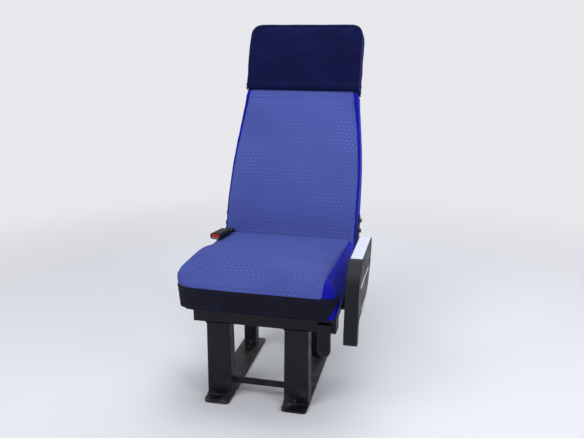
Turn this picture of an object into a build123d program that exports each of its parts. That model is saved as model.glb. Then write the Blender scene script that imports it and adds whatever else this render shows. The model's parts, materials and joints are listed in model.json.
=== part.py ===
"""Single passenger seat of a minibus: legs, sprung base, cushion, reclining back and swing-down armrest.

Millimetres. The seat faces -Y, its aisle side is +X and its window side is -X. Z = 0 is the floor, and the
origin is the centre of the seat's plan. SEAT_X is the seat's own plane of symmetry: the armrest on the
aisle side moves it off the origin.
"""

import os
from math import cos, pi, radians, sin, tan

from build123d import *

# Seat as a whole
CUSHION_HALF = 242.0  # half the cushion's width over its side panels
ARM_GAP = 12.0  # cushion side to armrest
ARM_WIDTH = 38.0
TRIM_PROUD = 1.0  # trim strips stand out of the armrest by this much
BACK_LEAN = 22.0  # degrees, backrest upright

# Distances back from the seat's front, and heights above the floor
SEAM_FROM_FRONT = 435.0  # where cushion and backrest meet
SEAM_Z = 438.0
PIVOT_BEHIND_FACE = 47.0  # recline axis to the backrest's front face
PIVOT_BELOW_SEAM = 25.0  # along the backrest
FRAME_Z = 305.0  # underside of the cushion frame
FRAME_TUBE = 25.0  # square tube of the cushion frame

# Backrest, measured along itself from the recline axis
BACK_BOTTOM = -10.0
HEM_HEIGHT = 528.0  # lower edge of the head cover
BACK_HEIGHT = 766.0
BACK_FACE_IN = 5.0  # front face behind its own line, at its lower end and at the hem
WAIST_HEIGHT = 371.0  # hollow above the lumbar bulge
WAIST_IN = 6.0
WAIST_ROUND = 700.0
LUMBAR_ROUND = 500.0
REAR_KNEE_HEIGHT = 408.0  # the rear face leans forward above this
REAR_KNEE_ROUND = 300.0
SHOULDER_ROUND = 1800.0
BACK_HALF_LOW = 226.0
BACK_TAPER = 30.0  # each side, from the shoulders' start to the hem
SHOULDER_START = 270.0  # straight sides end here and start to taper
BACK_REAR = 48.0  # rear face behind the recline axis
BACK_REAR_TOP = 36.0
LUMBAR_DEPTH = 8.0  # how far the lumbar bulge stands out of the front face
LUMBAR_HEIGHT = 120.0
HEAD_BULGE = 10.0
HEAD_BULGE_RISE = 10.0  # above the cover's middle
HEAD_BULGE_ROUND = 150.0
HEAD_FACE_IN = 4.0  # front face at the top
HEAD_REAR_IN = 8.0  # rear face at the hem
HEAD_CORNER = 42.0
HEAD_TOP_ROUND = 20.0
COVER_PROUD = 3.0  # slip cover outside the pads
BACK_STRIP_LOW = 7.0  # width of the blue side panels seen from the front
BACK_STRIP_HEM = 12.0
SHELL_THICK = 22.0
BACK_EDGE_ROUND = 18.0

# Cushion
CUSHION_REAR_GAP = 5.5  # to the backrest, which swings past it
CUSHION_SETBACK = 6.0  # cushion front behind the armrest's foot
CUSHION_BOTTOM_Z = FRAME_Z + FRAME_TUBE
CUSHION_CROWN_Z = 442.0
CUSHION_CROWN_BACK = 150.0  # highest point, back from the cushion's front
CUSHION_REAR_HALF = 222.0
CUSHION_TOP_AISLE = 203.0  # seam between light top and blue side
CUSHION_SIDE_WINDOW = 206.0  # inner face of the window side, under the valance's upper line
CUSHION_BULGE_Z = 386.0
CUSHION_LOW_HALF = 228.0
CUSHION_WAIST_FROM_FRONT = 230.0
CUSHION_CORNER = 52.0
CUSHION_REAR_CORNER = 14.0
CUSHION_WAIST_ROUND = 200.0
CUSHION_SIDE_ROUND = 60.0
CUSHION_SHOULDER_AISLE = 209.0  # edges of the crown
CUSHION_SHOULDER_WINDOW = 234.0
CUSHION_SHOULDER_ROUND = 34.0
CUSHION_CROWN_ROUND = 400.0
CUSHION_CROWN_RISE = 2.0  # lines that meet over the rounded crown
CUSHION_FRONT_DROP = 6.0  # front edge under the crown
FRONT_ROLL = 42.0
VALANCE_TOP_Z = 395.0
VALANCE_THICK = 12.0
VALANCE_WRAP = 78.0
VALANCE_LOW_HALF = 203.0

# Cushion frame and legs
FRAME_INSET = 20.0  # side tubes inside the cushion's widest line
FRAME_FRONT = 60.0
FRAME_REAR_AHEAD = 4.0  # rear tube's middle, ahead of the recline axis
SPRING_WIRE = 4.0
SPRING_COUNT = 4
SPRING_SPACING = 92.0
SPRING_TURN = 16.0  # radius of each bend
SPRING_REACH = 26.0  # straight stretch across between two bends
SPRING_CHORD = 45.0  # degrees of each chord
SKIRT_THICK = 3.0
SKIRT_ROUND = 6.0
SKIRT_START = 92.0
SKIRT_END_GAP = 22.0  # to the rear tube
RAIL_HIGH = 55.0  # cross rails under the cushion frame
FOOT_THICK = 8.0
FOOT_WIDTH = 78.0
FOOT_START = 62.0
FOOT_LENGTH = 450.0
FOOT_CORNER = 12.0
POST_TAPER = 3.0  # each side, foot to top
BOLT_INSET = 20.0
BOLT_HOLE_R = 5.5
LEG_WINDOW_X = -142.0  # from the seat's plane of symmetry
LEG_AISLE_X = 100.0
FRONT_POST_START = 102.0
FRONT_POST_DEEP = 50.0
REAR_POST_DEEP = 40.0
REAR_POST_WIDE = 44.0
RAIL_END_IN = 6.0  # rail ends inside the side tubes' outer faces
TIE_BAR_Z = 44.0
TIE_BAR_HIGH = 18.0
TIE_BAR_DEEP = 8.0
TUBE_ROUND = 5.0
TUBE_WALL = 2.5

# Hinge
HINGE_PLATE = 4.0
HINGE_GAP = 2.0
PIN_R = 8.0
PIN_CLEARANCE = 0.05  # radial
PIN_END_GAP = 0.3
PIN_HEAD_R = 13.0
PIN_HEAD = 4.0
HINGE_EYE_R = 24.0
HINGE_ARM_HEIGHT = 112.0
HINGE_ARM_TOP_HALF = 14.0
HINGE_ARM_ROUND = 10.0
HINGE_EYE_ROUND = 21.6  # a little under the eye's half width
BRACKET_FRONT = 44.0  # foot of the hinge plate, ahead of the axis and behind it
BRACKET_BEHIND = 30.0
BRACKET_DROP = 6.0  # plate under the frame
BRACKET_ROUND = 6.0

# Armrest, lowered
ARM_TOP_Z = 490.0
ARM_REAR_FROM_FRONT = 314.0
ARM_CAP_FRONT = 95.0
ARM_FOOT_Z = 266.0
ARM_FOOT_UPRIGHT = 40.0
ARM_FACE_TOP = 25.0  # pad face at its upper end, from the seat's front
ARM_FACE_TOP_Z = 448.0
ARM_TIP_DEEP = 30.0
ARM_TIP_TOP_DEEP = 38.0  # its rear edge, higher up
ARM_TIP_ROUND = 12.0
ARM_ROUND = 14.0
ARM_NOSE_ROUND = 30.0
ARM_FACE_ROUND = 40.0
ARM_BELLY_ROUND = 90.0
ARM_TIP_Z = 330.0  # the hanging tip starts under this
ARM_ARC_R = 155.0
ARM_ARC_CENTRE = 156.0  # centre of the round rear edge, from the seat's front
ARM_ARC_CENTRE_Z = 492.0
ARM_PIVOT = 259.0
ARM_PIVOT_Z = 427.0
ARM_CAP_THICK = 9.0
CAP_SIDE_IN = 2.0  # rim of the shell beside the cap
CAP_REAR_IN = 6.0
ARM_PAD_THICK = 13.0
ARM_BRACKET_PLATE = 5.0
ARM_SIDE_GAP = 5.0
STOP_PEG_R = 4.0
STOP_PEG_FROM_FRONT = 172.0
STOP_GAP = 0.3
PEG_MARGIN = 13.0  # plate round the peg
PLATE_FOOT_ROUND = 8.0
PLATE_FOOT_BEHIND = 26.0  # behind the armrest's axis
PLATE_EYE_R = 20.0
PLATE_EYE_ROUND = 17.0
ARM_NOSE_DROP = 16.0  # front corner of the top, ahead of the cap
TRIM_HIGH = 5.0
TRIM_DEEP = 1.5
TRIM_UPPER = (50.0, 222.0, 421.0)  # start, end, height
TRIM_LOWER = (84.0, 172.0, 343.0)

# Recline handle
HANDLE_X = 184.0
HANDLE_WIDTH = 40.0
HANDLE_THICK = 12.0
HANDLE_LOW_Z = 181.0
HANDLE_TOP_Z = 283.0
HANDLE_TOP_ROUND = 5.0
HANDLE_ROUND = 17.0

# Buckle
BUCKLE_LENGTH = 64.0
BUCKLE_WIDTH = 40.0
BUCKLE_THICK = 20.0
BUTTON_LENGTH = 14.0
BUTTON_RIM = 6.0  # of the body beside the button
BUTTON_UNDER = 7.0
BUTTON_OVER = 3.0
BUCKLE_ROUND = 7.0
BUCKLE_X = -210.0
BUCKLE_FROM_SEAM = 84.0
BUCKLE_TURN = 14.0  # degrees, its button points out to the window side
BUCKLE_REST_GAP = 0.3
STRAP_WIDTH = 30.0
STRAP_THICK = 1.6
STRAP_BEND = 2.0  # inner radius where the strap turns down
STRAP_DROP = 20.0  # how far the strap goes down behind the cushion

# Reach of the zones that cut a body into pieces, past every piece
BEYOND = 2000.0

# An edge whose direction has more Z than this runs up a piece
STEEP = 0.9

# Places worked out from the sizes above
BACK_HALF_HEM = BACK_HALF_LOW - BACK_TAPER
FRAME_HALF = CUSHION_HALF - FRAME_INSET
CROSS_RAIL_HALF = FRAME_HALF - RAIL_END_IN
POST_Z = FRAME_Z - RAIL_HIGH
LEAN = radians(BACK_LEAN)
SEAT_X = -(ARM_GAP + ARM_WIDTH + TRIM_PROUD) / 2
PIVOT_FROM_FRONT = SEAM_FROM_FRONT + PIVOT_BEHIND_FACE * cos(LEAN) - PIVOT_BELOW_SEAM * sin(LEAN)
PIVOT_Z = SEAM_Z - PIVOT_BELOW_SEAM * cos(LEAN) - PIVOT_BEHIND_FACE * sin(LEAN)
REAR_REACH = (
    (BACK_REAR_TOP + COVER_PROUD - HEAD_TOP_ROUND) * cos(LEAN)
    + (BACK_HEIGHT - HEAD_TOP_ROUND) * sin(LEAN)
    + HEAD_TOP_ROUND
)
DEPTH = PIVOT_FROM_FRONT + REAR_REACH
FRONT_Y = -DEPTH / 2
PIVOT_Y = FRONT_Y + PIVOT_FROM_FRONT
ARM_INNER = CUSHION_HALF + ARM_GAP
FRAME_REAR = PIVOT_FROM_FRONT + FRAME_TUBE / 2 - FRAME_REAR_AHEAD
BRACKET_INNER = BACK_HALF_LOW + HINGE_PLATE + HINGE_GAP


def outline_face(rows):
    """Face inside a closed outline. Each row is x, y and the radius that rounds that corner."""
    tangents = []
    for i, (x, y, radius) in enumerate(rows):
        before, after = rows[i - 1], rows[(i + 1) % len(rows)]
        corner = Vector(x, y)
        back = (Vector(before[0], before[1]) - corner).normalized()
        onward = (Vector(after[0], after[1]) - corner).normalized()
        if radius <= 0 or (back + onward).length < 1e-6:
            tangents.append((corner, None, corner))
            continue
        half = radians(back.get_angle(onward)) / 2
        run = radius / tan(half)
        inward = (back + onward).normalized()
        middle = corner + inward * (radius / sin(half) - radius)
        tangents.append((corner + back * run, middle, corner + onward * run))
    edges = []
    for i, (start, middle, end) in enumerate(tangents):
        if middle is not None:
            edges.append(Edge.make_three_point_arc(start, middle, end))
        following = tangents[(i + 1) % len(tangents)][0]
        if (following - end).length > 1e-6:
            edges.append(Edge.make_line(end, following))
    return Face(Wire(edges))


def side_slab(rows, left, right):
    """Solid between two X planes, whose outline is given in (Y, Z)."""
    face = Plane.YZ.offset(left) * outline_face(rows)
    return extrude(face, amount=right - left, dir=(1, 0, 0))


def front_slab(rows, near, far):
    """Solid between two Y planes, whose outline is given in (X, Z)."""
    face = Plane.XZ.offset(-near) * outline_face(rows)
    return extrude(face, amount=far - near, dir=(0, 1, 0))


def plan_slab(rows, low, high):
    """Solid between two heights, whose outline is given in (X, Y)."""
    face = Plane.XY.offset(low) * outline_face(rows)
    return extrude(face, amount=high - low, dir=(0, 0, 1))


def block(x0, x1, y0, y1, z0, z1):
    """Plain box between its low and high corners."""
    return Pos((x0 + x1) / 2, (y0 + y1) / 2, (z0 + z1) / 2) * Box(x1 - x0, y1 - y0, z1 - z0)


def tube(x0, x1, y0, y1, z0, z1, along):
    """Rectangular tube stock along one axis: four rounded long edges, one wall thickness, open ends."""
    stock = fillet(block(x0, x1, y0, y1, z0, z1).edges().filter_by(along), TUBE_ROUND)
    wall = Vector(TUBE_WALL, TUBE_WALL, TUBE_WALL) - along.direction * (2 * TUBE_WALL)
    hollow = block(x0 + wall.X, x1 - wall.X, y0 + wall.Y, y1 - wall.Y, z0 + wall.Z, z1 - wall.Z)
    return stock - hollow


def on_seat(shape):
    """Move a shape from the seat's own plane of symmetry to the part's frame."""
    return Pos(SEAT_X, FRONT_Y, 0) * shape


def on_back(shape):
    """Lean a shape that is drawn upright about the recline axis, and move it there."""
    return Pos(SEAT_X, PIVOT_Y, PIVOT_Z) * Rot(X=-BACK_LEAN) * shape


def left_and_right(shape):
    """The parts of a shape on the window side and on the aisle side of the seat's plane."""
    window = shape & block(-BEYOND, 0, -BEYOND, BEYOND, -BEYOND, BEYOND)
    aisle = shape & block(0, BEYOND, -BEYOND, BEYOND, -BEYOND, BEYOND)
    return window, aisle


def only_solid(shape):
    """The one solid of a shape, or the shape itself where it has several."""
    solids = shape.solids()
    return solids[0] if len(solids) == 1 else Compound(children=list(solids))


# Legs


def foot(x):
    """Flat foot plate with a floor bolt hole at each end."""
    half = FOOT_WIDTH / 2
    plate = plan_slab(
        [
            (x - half, FOOT_START, FOOT_CORNER),
            (x + half, FOOT_START, FOOT_CORNER),
            (x + half, FOOT_START + FOOT_LENGTH, FOOT_CORNER),
            (x - half, FOOT_START + FOOT_LENGTH, FOOT_CORNER),
        ],
        0,
        FOOT_THICK,
    )
    for y in (FOOT_START + BOLT_INSET, FOOT_START + FOOT_LENGTH - BOLT_INSET):
        plate -= Pos(x, y, FOOT_THICK / 2) * Cylinder(BOLT_HOLE_R, BEYOND)
    return plate


def front_post(x):
    """Wide pressed post under the front cross rail, a little wider at its foot."""
    half_top = FOOT_WIDTH / 2 - POST_TAPER
    half_low = FOOT_WIDTH / 2
    post = front_slab(
        [
            (x - half_low, FOOT_THICK, 0),
            (x + half_low, FOOT_THICK, 0),
            (x + half_top, POST_Z, 0),
            (x - half_top, POST_Z, 0),
        ],
        FRONT_POST_START,
        FRONT_POST_START + FRONT_POST_DEEP,
    )
    upright = [e for e in post.edges() if abs(e.tangent_at(0.5).Z) > STEEP]
    return fillet(upright, TUBE_ROUND)


def rear_post(x):
    """Slim tube under the rear cross rail."""
    half = REAR_POST_WIDE / 2
    return tube(x - half, x + half, FRAME_REAR - REAR_POST_DEEP, FRAME_REAR, FOOT_THICK, POST_Z, Axis.Z)


def cross_rail(near, far):
    """Rail across the posts, under the cushion frame."""
    return tube(-CROSS_RAIL_HALF, CROSS_RAIL_HALF, near, far, POST_Z, FRAME_Z, Axis.X)


def tie_bar():
    """Low flat bar between the front posts."""
    y0 = FRONT_POST_START + FRONT_POST_DEEP / 2 - TIE_BAR_DEEP / 2
    bar = block(LEG_WINDOW_X, LEG_AISLE_X, y0, y0 + TIE_BAR_DEEP, TIE_BAR_Z, TIE_BAR_Z + TIE_BAR_HIGH)
    return bar - front_post(LEG_WINDOW_X) - front_post(LEG_AISLE_X)


# Cushion frame


def frame_side(sign):
    """Side tube of the cushion frame, between its front and rear tubes."""
    outer = sign * FRAME_HALF
    inner = sign * (FRAME_HALF - FRAME_TUBE)
    return tube(
        min(outer, inner), max(outer, inner), FRAME_FRONT + FRAME_TUBE, FRAME_REAR - FRAME_TUBE,
        FRAME_Z, CUSHION_BOTTOM_Z, Axis.Y,
    )


def frame_front():
    """Front tube of the cushion frame."""
    rear = FRAME_FRONT + FRAME_TUBE
    return tube(-FRAME_HALF, FRAME_HALF, FRAME_FRONT, rear, FRAME_Z, CUSHION_BOTTOM_Z, Axis.X)


def frame_rear():
    """Rear tube of the cushion frame, which reaches the hinge brackets."""
    front = FRAME_REAR - FRAME_TUBE
    return tube(-BRACKET_INNER, BRACKET_INNER, front, FRAME_REAR, FRAME_Z, CUSHION_BOTTOM_Z, Axis.X)


def chord_corners(centre_x, centre_y, first, last):
    """Corners of the chords along one bend of a spring, between two angles in degrees from +X."""
    steps = round(abs(last - first) / SPRING_CHORD)
    angles = [radians(first + (last - first) * i / steps) for i in range(steps + 1)]
    return [(centre_x + SPRING_TURN * cos(a), centre_y + SPRING_TURN * sin(a)) for a in angles]


def spring(x):
    """One zigzag spring, from the front tube's rear face to the rear tube's front face."""
    start = FRAME_FRONT + FRAME_TUBE
    end = FRAME_REAR - FRAME_TUBE
    bends = int((end - start - 2 * SPRING_TURN) // (2 * SPRING_TURN))
    y = start + (end - start - bends * 2 * SPRING_TURN) / 2
    reach = SPRING_TURN + SPRING_REACH / 2
    # a quarter bend turns the wire from along the seat to across it, and one more turns it back
    corners = [(x, start)] + chord_corners(x + SPRING_TURN, y - SPRING_TURN, 180, 90)
    side = 1
    for _ in range(bends):
        corners += chord_corners(x + side * reach, y + SPRING_TURN, -90, -90 + side * 180)
        y += 2 * SPRING_TURN
        side = -side
    corners += chord_corners(x - side * SPRING_TURN, y + SPRING_TURN, -90, -90 + side * 90)
    z = CUSHION_BOTTOM_Z - FRAME_TUBE / 2
    path = Polyline([(a, b, z) for a, b in corners + [(x, end)]])
    flat = SPRING_WIRE * pi**0.5 / 2  # a square wire of the same section area
    section = Plane((x, start, z), x_dir=(1, 0, 0), z_dir=(0, 1, 0)) * Rectangle(flat, flat)
    return sweep(section, path=path, transition=Transition.RIGHT)


def springs():
    """The row of zigzag springs that carries the cushion."""
    first = -SPRING_SPACING * (SPRING_COUNT - 1) / 2
    return [spring(first + i * SPRING_SPACING) for i in range(SPRING_COUNT)]


# Cushion


def cushion_plan(inset):
    """Plan outline of the cushion in (X, Y), from its own front, drawn in by inset."""
    rear = SEAM_FROM_FRONT - CUSHION_REAR_GAP
    front = CUSHION_SETBACK + inset
    wide = CUSHION_HALF - inset
    narrow = CUSHION_REAR_HALF - inset
    corner = CUSHION_CORNER - inset
    return [
        (-wide, front, corner),
        (wide, front, corner),
        (wide, CUSHION_WAIST_FROM_FRONT, CUSHION_WAIST_ROUND),
        (narrow, rear, CUSHION_REAR_CORNER),
        (-narrow, rear, CUSHION_REAR_CORNER),
        (-wide, CUSHION_WAIST_FROM_FRONT, CUSHION_WAIST_ROUND),
    ]


def cushion_body():
    """The whole cushion with its sides and valance: plan, side profile and cross-section intersected."""
    low = CUSHION_BOTTOM_Z
    rear = SEAM_FROM_FRONT - CUSHION_REAR_GAP
    plan = plan_slab(cushion_plan(0), low, BEYOND)
    front = CUSHION_SETBACK
    peak = CUSHION_CROWN_Z + CUSHION_CROWN_RISE
    side = side_slab(
        [
            (front, low, 0),
            (front, CUSHION_CROWN_Z - CUSHION_FRONT_DROP, FRONT_ROLL),
            (front + CUSHION_CROWN_BACK, peak, CUSHION_CROWN_ROUND),
            (rear, SEAM_Z, 0),
            (rear - (SEAM_Z - low) * tan(LEAN), low, 0),
        ],
        -BEYOND,
        BEYOND,
    )
    section = front_slab(
        [
            (-CUSHION_LOW_HALF, low, 0),
            (CUSHION_LOW_HALF, low, 0),
            (CUSHION_HALF, CUSHION_BULGE_Z, CUSHION_SIDE_ROUND),
            (CUSHION_SHOULDER_AISLE, peak, CUSHION_SHOULDER_ROUND),
            (-CUSHION_SHOULDER_WINDOW, peak, CUSHION_SHOULDER_ROUND),
            (-CUSHION_HALF, CUSHION_BULGE_Z, CUSHION_SIDE_ROUND),
        ],
        -BEYOND,
        BEYOND,
    )
    return plan & side & section


def valance_zone():
    """Space of the dark front valance: a band round the front, narrower at its lower edge."""
    band = plan_slab(cushion_plan(0), CUSHION_BOTTOM_Z, VALANCE_TOP_Z)
    band -= plan_slab(cushion_plan(VALANCE_THICK), CUSHION_BOTTOM_Z, VALANCE_TOP_Z)
    reach = front_slab(
        [
            (-VALANCE_LOW_HALF, CUSHION_BOTTOM_Z, 0),
            (VALANCE_LOW_HALF, CUSHION_BOTTOM_Z, 0),
            (CUSHION_HALF, VALANCE_TOP_Z, 0),
            (-CUSHION_HALF, VALANCE_TOP_Z, 0),
        ],
        0,
        VALANCE_WRAP,
    )
    return band & reach


def cushion_pieces():
    """Light top, two blue sides and the valance. The top goes round the edge on the window side."""
    body = cushion_body()
    zone = valance_zone()
    valance = only_solid(body & zone)
    rest = body - zone
    aisle_zone = block(CUSHION_TOP_AISLE, BEYOND, -BEYOND, BEYOND, -BEYOND, BEYOND)
    window_zone = block(-BEYOND, -CUSHION_SIDE_WINDOW, -BEYOND, BEYOND, -BEYOND, VALANCE_TOP_Z)
    top = rest - aisle_zone - window_zone
    window = rest & window_zone
    aisle = rest & aisle_zone
    return only_solid(top), only_solid(window), only_solid(aisle), valance


def side_skirt(sign):
    """Thin plastic skirt over the side tube of the frame."""
    inner = sign * FRAME_HALF
    outer = sign * (FRAME_HALF + SKIRT_THICK)
    end = FRAME_REAR - FRAME_TUBE - SKIRT_END_GAP
    return side_slab(
        [
            (SKIRT_START, FRAME_Z, SKIRT_ROUND),
            (end, FRAME_Z, SKIRT_ROUND),
            (end, CUSHION_BOTTOM_Z, 0),
            (SKIRT_START, CUSHION_BOTTOM_Z, 0),
        ],
        min(inner, outer),
        max(inner, outer),
    )


# Hinge


def hinge_bracket(sign):
    """Plate at the end of the rear tube that rises to the recline axis, with its pin."""
    y, z = PIVOT_FROM_FRONT, PIVOT_Z
    low = FRAME_Z - BRACKET_DROP
    inner = sign * BRACKET_INNER
    outer = sign * (BRACKET_INNER + HINGE_PLATE)
    plate = side_slab(
        [
            (y - BRACKET_FRONT, low, BRACKET_ROUND),
            (y + BRACKET_BEHIND, low, BRACKET_ROUND),
            (y + HINGE_EYE_R, z + HINGE_EYE_R, HINGE_EYE_ROUND),
            (y - HINGE_EYE_R, z + HINGE_EYE_R, HINGE_EYE_ROUND),
        ],
        min(inner, outer),
        max(inner, outer),
    )
    pin_start = sign * BACK_HALF_LOW
    pin_end = sign * (BRACKET_INNER + HINGE_PLATE)
    middle = (pin_start + pin_end) / 2
    pin = Pos(middle, y, z) * Rot(Y=90) * Cylinder(PIN_R, abs(pin_end - pin_start) - 2 * PIN_END_GAP)
    head_middle = sign * (BRACKET_INNER + HINGE_PLATE + PIN_HEAD / 2)
    head = Pos(head_middle, y, z) * Rot(Y=90) * Cylinder(PIN_HEAD_R, PIN_HEAD)
    return plate + pin + head


def hinge_arm(sign):
    """Steel arm on the side of the backrest, drawn upright about the recline axis."""
    inner = sign * BACK_HALF_LOW
    outer = sign * (BACK_HALF_LOW + HINGE_PLATE)
    eye = HINGE_EYE_R
    arm = side_slab(
        [
            (-eye, -eye, HINGE_EYE_ROUND),
            (eye, -eye, HINGE_EYE_ROUND),
            (HINGE_ARM_TOP_HALF, HINGE_ARM_HEIGHT, HINGE_ARM_ROUND),
            (-HINGE_ARM_TOP_HALF, HINGE_ARM_HEIGHT, HINGE_ARM_ROUND),
        ],
        min(inner, outer),
        max(inner, outer),
    )
    middle = (inner + outer) / 2
    return arm - Pos(middle, 0, 0) * Rot(Y=90) * Cylinder(PIN_R + PIN_CLEARANCE, BEYOND)


# Backrest, drawn upright about the recline axis: X across, Y back, Z up along it


def back_pad_body():
    """Backrest under the head cover, with its side panels and rear shell."""
    face = -PIVOT_BEHIND_FACE
    slope = (BACK_REAR - BACK_REAR_TOP) / (BACK_HEIGHT - REAR_KNEE_HEIGHT)
    rear_at_hem = BACK_REAR - slope * (HEM_HEIGHT - REAR_KNEE_HEIGHT)
    side = side_slab(
        [
            (face + BACK_FACE_IN, BACK_BOTTOM, 0),
            (face - LUMBAR_DEPTH, LUMBAR_HEIGHT, LUMBAR_ROUND),
            (face + WAIST_IN, WAIST_HEIGHT, WAIST_ROUND),
            (face + BACK_FACE_IN, HEM_HEIGHT, 0),
            (rear_at_hem, HEM_HEIGHT, 0),
            (BACK_REAR, REAR_KNEE_HEIGHT, REAR_KNEE_ROUND),
            (BACK_REAR, BACK_BOTTOM, 0),
        ],
        -BEYOND,
        BEYOND,
    )
    front = front_slab(
        [
            (-BACK_HALF_LOW, BACK_BOTTOM, 0),
            (BACK_HALF_LOW, BACK_BOTTOM, 0),
            (BACK_HALF_LOW, SHOULDER_START, SHOULDER_ROUND),
            (BACK_HALF_HEM, HEM_HEIGHT, 0),
            (-BACK_HALF_HEM, HEM_HEIGHT, 0),
            (-BACK_HALF_LOW, SHOULDER_START, SHOULDER_ROUND),
        ],
        -BEYOND,
        BEYOND,
    )
    return side & front


def rounded_long_edges(body):
    """Round the front and rear edges that run up both sides of a backrest body."""
    edges = [
        e
        for e in body.edges()
        if abs(e.center().X) > BACK_HALF_HEM / 2
        and abs(e.center().Y) > BACK_EDGE_ROUND
        and abs(e.tangent_at(0.5).Z) > STEEP
    ]
    return fillet(edges, BACK_EDGE_ROUND)


def back_pieces():
    """Light pad, two blue side panels and the rear shell of the backrest."""
    body = rounded_long_edges(back_pad_body())
    shell_face = BACK_REAR - SHELL_THICK
    shell = body & block(-BEYOND, BEYOND, shell_face, BEYOND, -BEYOND, BEYOND)
    fore = body & block(-BEYOND, BEYOND, -BEYOND, shell_face, -BEYOND, BEYOND)
    seam_low = BACK_HALF_LOW - BACK_STRIP_LOW
    seam_hem = BACK_HALF_HEM - BACK_STRIP_HEM
    strip = front_slab(
        [
            (-seam_low, BACK_BOTTOM, 0),
            (seam_low, BACK_BOTTOM, 0),
            (seam_low, SHOULDER_START, SHOULDER_ROUND),
            (seam_hem, HEM_HEIGHT, 0),
            (-seam_hem, HEM_HEIGHT, 0),
            (-seam_low, SHOULDER_START, SHOULDER_ROUND),
        ],
        -BEYOND,
        BEYOND,
    )
    pad = fore & strip
    sides = fore - strip
    window, aisle = left_and_right(sides)
    return only_solid(pad), only_solid(window), only_solid(aisle), only_solid(shell)


def head_cover():
    """Velour slip cover over the top of the backrest, closed over the head pad inside it."""
    face = -PIVOT_BEHIND_FACE + BACK_FACE_IN - COVER_PROUD
    rear = BACK_REAR + COVER_PROUD
    half = BACK_HALF_HEM + COVER_PROUD
    middle = (HEM_HEIGHT + BACK_HEIGHT) / 2
    side = side_slab(
        [
            (face, HEM_HEIGHT, 0),
            (face - HEAD_BULGE, middle + HEAD_BULGE_RISE, HEAD_BULGE_ROUND),
            (face + HEAD_FACE_IN, BACK_HEIGHT, HEAD_TOP_ROUND),
            (BACK_REAR_TOP + COVER_PROUD, BACK_HEIGHT, HEAD_TOP_ROUND),
            (rear - HEAD_REAR_IN, HEM_HEIGHT, 0),
        ],
        -BEYOND,
        BEYOND,
    )
    front = front_slab(
        [
            (-half, HEM_HEIGHT, 0),
            (half, HEM_HEIGHT, 0),
            (half, BACK_HEIGHT, HEAD_CORNER),
            (-half, BACK_HEIGHT, HEAD_CORNER),
        ],
        -BEYOND,
        BEYOND,
    )
    return side & front


# Armrest


def arm_outline():
    """Side outline of the lowered armrest in (Y, Z) from the seat's front, without its round rear edge."""
    return [
        (0, ARM_FOOT_Z, ARM_TIP_ROUND),
        (ARM_TIP_DEEP, ARM_FOOT_Z, ARM_TIP_ROUND),
        (ARM_TIP_TOP_DEEP, ARM_TIP_Z, ARM_ROUND),
        (ARM_REAR_FROM_FRONT, ARM_TIP_Z, 0),
        (ARM_REAR_FROM_FRONT, ARM_TOP_Z, ARM_ROUND),
        (ARM_CAP_FRONT - ARM_NOSE_DROP, ARM_TOP_Z, ARM_NOSE_ROUND),
        (ARM_FACE_TOP, ARM_FACE_TOP_Z, ARM_FACE_ROUND),
        (0, ARM_FOOT_Z + ARM_FOOT_UPRIGHT, ARM_BELLY_ROUND),
    ]


def arm_solid():
    """The armrest as one body: the outline, with its rear lower part cut to an arc."""
    left, right = ARM_INNER, ARM_INNER + ARM_WIDTH
    whole = side_slab(arm_outline(), left, right)
    centre = Pos((left + right) / 2, ARM_ARC_CENTRE, ARM_ARC_CENTRE_Z) * Rot(Y=90)
    forward = block(left, right, -BEYOND, ARM_ARC_CENTRE, 0, BEYOND)
    return whole & (centre * Cylinder(ARM_ARC_R, ARM_WIDTH) + forward)


def arm_pieces():
    """Dark shell, light cap on top and dark pad down the front of the armrest."""
    body = arm_solid()
    left, right = ARM_INNER, ARM_INNER + ARM_WIDTH
    cap_low = ARM_TOP_Z - ARM_CAP_THICK
    cap_rear = ARM_REAR_FROM_FRONT - CAP_REAR_IN
    cap_zone = block(left + CAP_SIDE_IN, right - CAP_SIDE_IN, ARM_CAP_FRONT, cap_rear, cap_low, BEYOND)
    pad_line = side_slab(
        [
            (-ARM_PAD_THICK, ARM_FOOT_Z - ARM_PAD_THICK, 0),
            (ARM_PAD_THICK, ARM_FOOT_Z - ARM_PAD_THICK, 0),
            (ARM_PAD_THICK, ARM_FOOT_Z + ARM_FOOT_UPRIGHT, ARM_BELLY_ROUND),
            (ARM_PAD_THICK + ARM_FACE_TOP, ARM_FACE_TOP_Z, 0),
            (-ARM_PAD_THICK, ARM_FACE_TOP_Z, 0),
        ],
        left,
        right,
    )
    cap = body & cap_zone
    pad = body & pad_line
    shell = body - cap_zone - pad_line
    hole = Pos((left + right) / 2, ARM_PIVOT, ARM_PIVOT_Z) * Rot(Y=90)
    shell -= hole * Cylinder(PIN_R + PIN_CLEARANCE, ARM_WIDTH)
    for strip in trim_zones():
        shell -= strip
    return only_solid(shell), only_solid(cap), only_solid(pad)


def trim_zones():
    """Two bright strips let into the armrest's aisle side."""
    outer = ARM_INNER + ARM_WIDTH
    return [
        block(outer - TRIM_DEEP, outer + TRIM_PROUD, start, end, z - TRIM_HIGH / 2, z + TRIM_HIGH / 2)
        for start, end, z in (TRIM_UPPER, TRIM_LOWER)
    ]


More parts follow.
